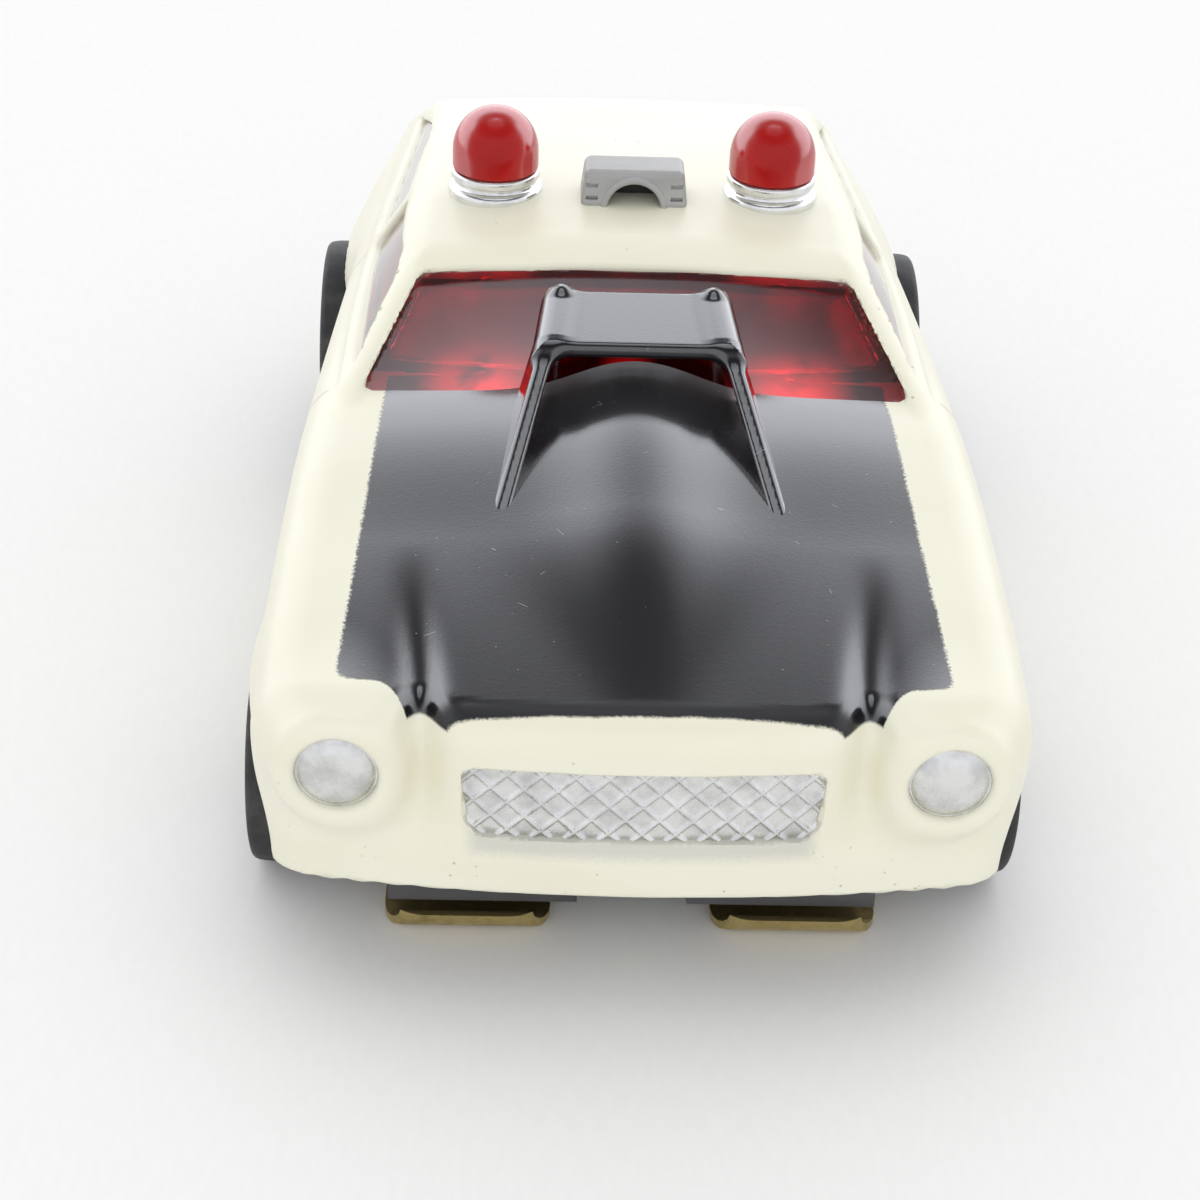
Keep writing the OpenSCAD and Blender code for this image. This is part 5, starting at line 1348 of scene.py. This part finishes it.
@dataclass(frozen=True)
class Hardware:
    """Finishes of the solids whose shape is right as it is."""

    groups: tuple[tuple[tuple[str, ...], Moulded | Metal], ...] = (
        (("chassis_frame",), Moulded("chassis_plastic", (0.060, 0.060, 0.064), (0.085, 0.085, 0.088), 0.45)),
        (("gear_plate",), Moulded("plate_plastic", (0.60, 0.60, 0.58), (0.52, 0.52, 0.50), 0.4)),
        (("gear_plate_clip", "armature_shaft", "rear_axle", "front_axle"),
         Metal("bright_steel", (0.62, 0.61, 0.60), (0.36, 0.34, 0.31), 0.26, (8.0, 1.0, 1.0))),
        (("armature_core",),
         Metal("pressed_iron", (0.42, 0.41, 0.40), (0.22, 0.20, 0.18), 0.42, (1.0, 1.0, 14.0))),
        (("magnet_front", "magnet_rear"),
         Moulded("ferrite_block", (0.075, 0.075, 0.078), (0.11, 0.105, 0.10), 0.6, 5.0)),
        (("brush_left", "brush_right"),
         Moulded("brush_carbon", (0.03, 0.03, 0.032), (0.05, 0.05, 0.052), 0.5, 12.0)),
        (("contact_strip_left", "contact_strip_right", "commutator"),
         Metal("rolled_copper", (0.70, 0.36, 0.20), (0.36, 0.16, 0.08), 0.3)),
        (("armature_pinion", "drive_pinion", "crown_gear"),
         Metal("cut_brass", (0.70, 0.52, 0.24), (0.42, 0.29, 0.12), 0.28)),
        (("pickup_shoe_left", "pickup_shoe_right"),
         Metal("shoe_brass", (0.60, 0.48, 0.21), (0.33, 0.26, 0.11), 0.32)),
        (("idler_gear", "drive_gear"), Moulded("gear_nylon", (0.80, 0.78, 0.70), (0.72, 0.69, 0.60), 0.38)),
        (("rear_rim_left", "rear_rim_right", "front_rim_left", "front_rim_right"),
         Metal("silver_rim", (0.70, 0.70, 0.69), (0.48, 0.47, 0.45), 0.3)),
    )

    def dress(self, nodes: dict[str, bpy.types.Object]) -> None:
        """Gives each solid its finish."""
        for names, finish in self.groups:
            material = finish.material()
            for name in names:
                mesh = nodes[name].data
                mesh.materials.clear()
                mesh.materials.append(material)
                log.info("%s dressed as %s", name, finish.name)


@dataclass(frozen=True)
class Studio:
    """Pale floor, soft light and the camera of the photograph."""

    eye: tuple[float, float, float] = (-4.26, -104.03, 66.97)
    pitch: float = 32.64
    yaw: float = 1.80
    roll: float = 2.12
    lens: float = 72.62
    sensor: float = 36.0
    floor_half: float = 0.6
    floor_colour: Colour = (0.93, 0.93, 0.935)
    sky: float = 0.86
    gleam: float = 2.5
    front_gleam: float = 0.42
    tent: Stations = ((0.62, 1.0), (0.70, 0.6), (0.766, 0.25), (0.82, 0.07), (0.935, 0.04), (0.965, 0.85))
    tint: Colour = (0.95, 0.97, 1.03)
    # Y of the directions between which the tent goes from front to back
    tent_turn: tuple[float, float] = (-0.3, 0.3)
    aim: Place = (0.0, 0.0, 0.01)
    # Name, place, size and power of each lamp, in metres and watts
    lamps: tuple[tuple[str, tuple[float, float, float], tuple[float, float], float], ...] = (
        ("overhead", (-0.02, 0.02, 0.32), (0.30, 0.30), 0.08),
        ("back_panel", (0.0, 0.45, 0.235), (1.2, 0.44), 0.8),
        ("front_fill", (0.0, -0.40, 0.20), (0.7, 0.36), 0.36),
    )

    def build(self) -> None:
        """Builds floor, light and camera."""
        scene = bpy.context.scene
        scene.view_settings.view_transform = "Standard"
        self.floor()
        self.light(scene)
        self.camera(scene)

    def floor(self) -> None:
        """Adds the floor."""
        h = self.floor_half / MM
        g = Graph("studio_floor")
        at = g.place()
        grain = g.noise(g.stretch(at, (1.0, 0.25, 1.0)), 3.0, 3.0)
        tint = g.mix(grain.step(0.3, 0.7), self.floor_colour, tuple(c * 0.985 for c in self.floor_colour))
        material = g.finish(Base_Color=tint, Roughness=0.7 + 0.1 * grain, Specular_IOR_Level=0.0)
        skin = Skin(np.array([[-h, -h, 0], [h, -h, 0], [h, h, 0], [-h, h, 0]], float), [(0, 1, 2, 3)])
        skin.piece("floor", material)

    def light(self, scene: bpy.types.Scene) -> None:
        """Adds the sky and large soft lamps."""
        world = bpy.data.worlds.new("studio_sky")
        scene.world = world
        world.use_nodes = True
        nodes = Nodes(world.node_tree)
        path = nodes.node("ShaderNodeLightPath", {}, {})
        shown = path.out("Is Glossy Ray").math("MAXIMUM", path.out("Is Transmission Ray"))
        way = nodes.node("ShaderNodeTexCoord", {}, {}).out("Generated")
        _, y, z = nodes.split(way)
        stops = [(place, tuple(level * t for t in self.tint)) for place, level in self.tent]
        glow = nodes.node("ShaderNodeValToRGB", {"stops": stops}, {0: z})
        ends = dict(enumerate((*self.tent_turn, self.gleam * self.front_gleam, self.gleam), 1))
        bright = nodes.node("ShaderNodeMapRange", {}, {0: y, **ends})
        white = (1.0, 1.0, 1.0, 1.0)
        sky, tent, backdrop = (nodes.node("ShaderNodeBackground", {}, {"Color": colour, "Strength": strength})
                               for colour, strength in ((white, self.sky), (glow, bright), (white, 1.0)))
        lit = nodes.node("ShaderNodeMixShader", {}, {0: shown, 1: sky, 2: tent})
        seen = nodes.node("ShaderNodeMixShader", {}, {0: path.out("Is Camera Ray"), 1: lit, 2: backdrop})
        nodes.node("ShaderNodeOutputWorld", {}, {0: seen})
        for name, place, size, power in self.lamps:
            lamp = bpy.data.lights.new(name, "AREA")
            lamp.shape = "RECTANGLE"
            lamp.size, lamp.size_y = size
            lamp.energy = power
            holder = bpy.data.objects.new(name, lamp)
            holder.visible_glossy = False
            holder.location = place
            towards = Vector(self.aim) - holder.location
            holder.rotation_euler = towards.to_track_quat("-Z", "Y").to_euler()
            scene.collection.objects.link(holder)

    def camera(self, scene: bpy.types.Scene) -> None:
        """Adds the camera at the photograph's viewing angle."""
        yaw, pitch, roll = (math.radians(a) for a in (self.yaw, self.pitch, self.roll))
        ahead = Vector((math.sin(yaw) * math.cos(pitch), math.cos(yaw) * math.cos(pitch), -math.sin(pitch)))
        right = Vector((math.cos(yaw), -math.sin(yaw), 0))
        up = right.cross(ahead)
        across = math.cos(roll) * right + math.sin(roll) * up
        over = -math.sin(roll) * right + math.cos(roll) * up
        data = bpy.data.cameras.new("camera")
        data.sensor_width = self.sensor
        data.lens = self.lens
        data.clip_start = 0.001
        camera = bpy.data.objects.new("camera", data)
        turn = Matrix((across, over, -ahead)).transposed().to_4x4()
        camera.matrix_world = Matrix.Translation(Vector(self.eye) * MM) @ turn
        scene.collection.objects.link(camera)
        scene.camera = camera


def corners(box: Iterable[Iterable[float]]) -> list[list[float]]:
    """A box as plain lists."""
    return [[float(v) for v in corner] for corner in box]


def main() -> None:
    """Builds the car round its solids."""
    logging.basicConfig(level=logging.INFO, format="%(name)s: %(message)s")
    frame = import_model()
    Hardware().dress(frame["nodes"])
    for part in (Shell(), RoofLights(), Wheels(), Running()):
        part.build()
    Studio().build()


if __name__ == "__main__":
    main()
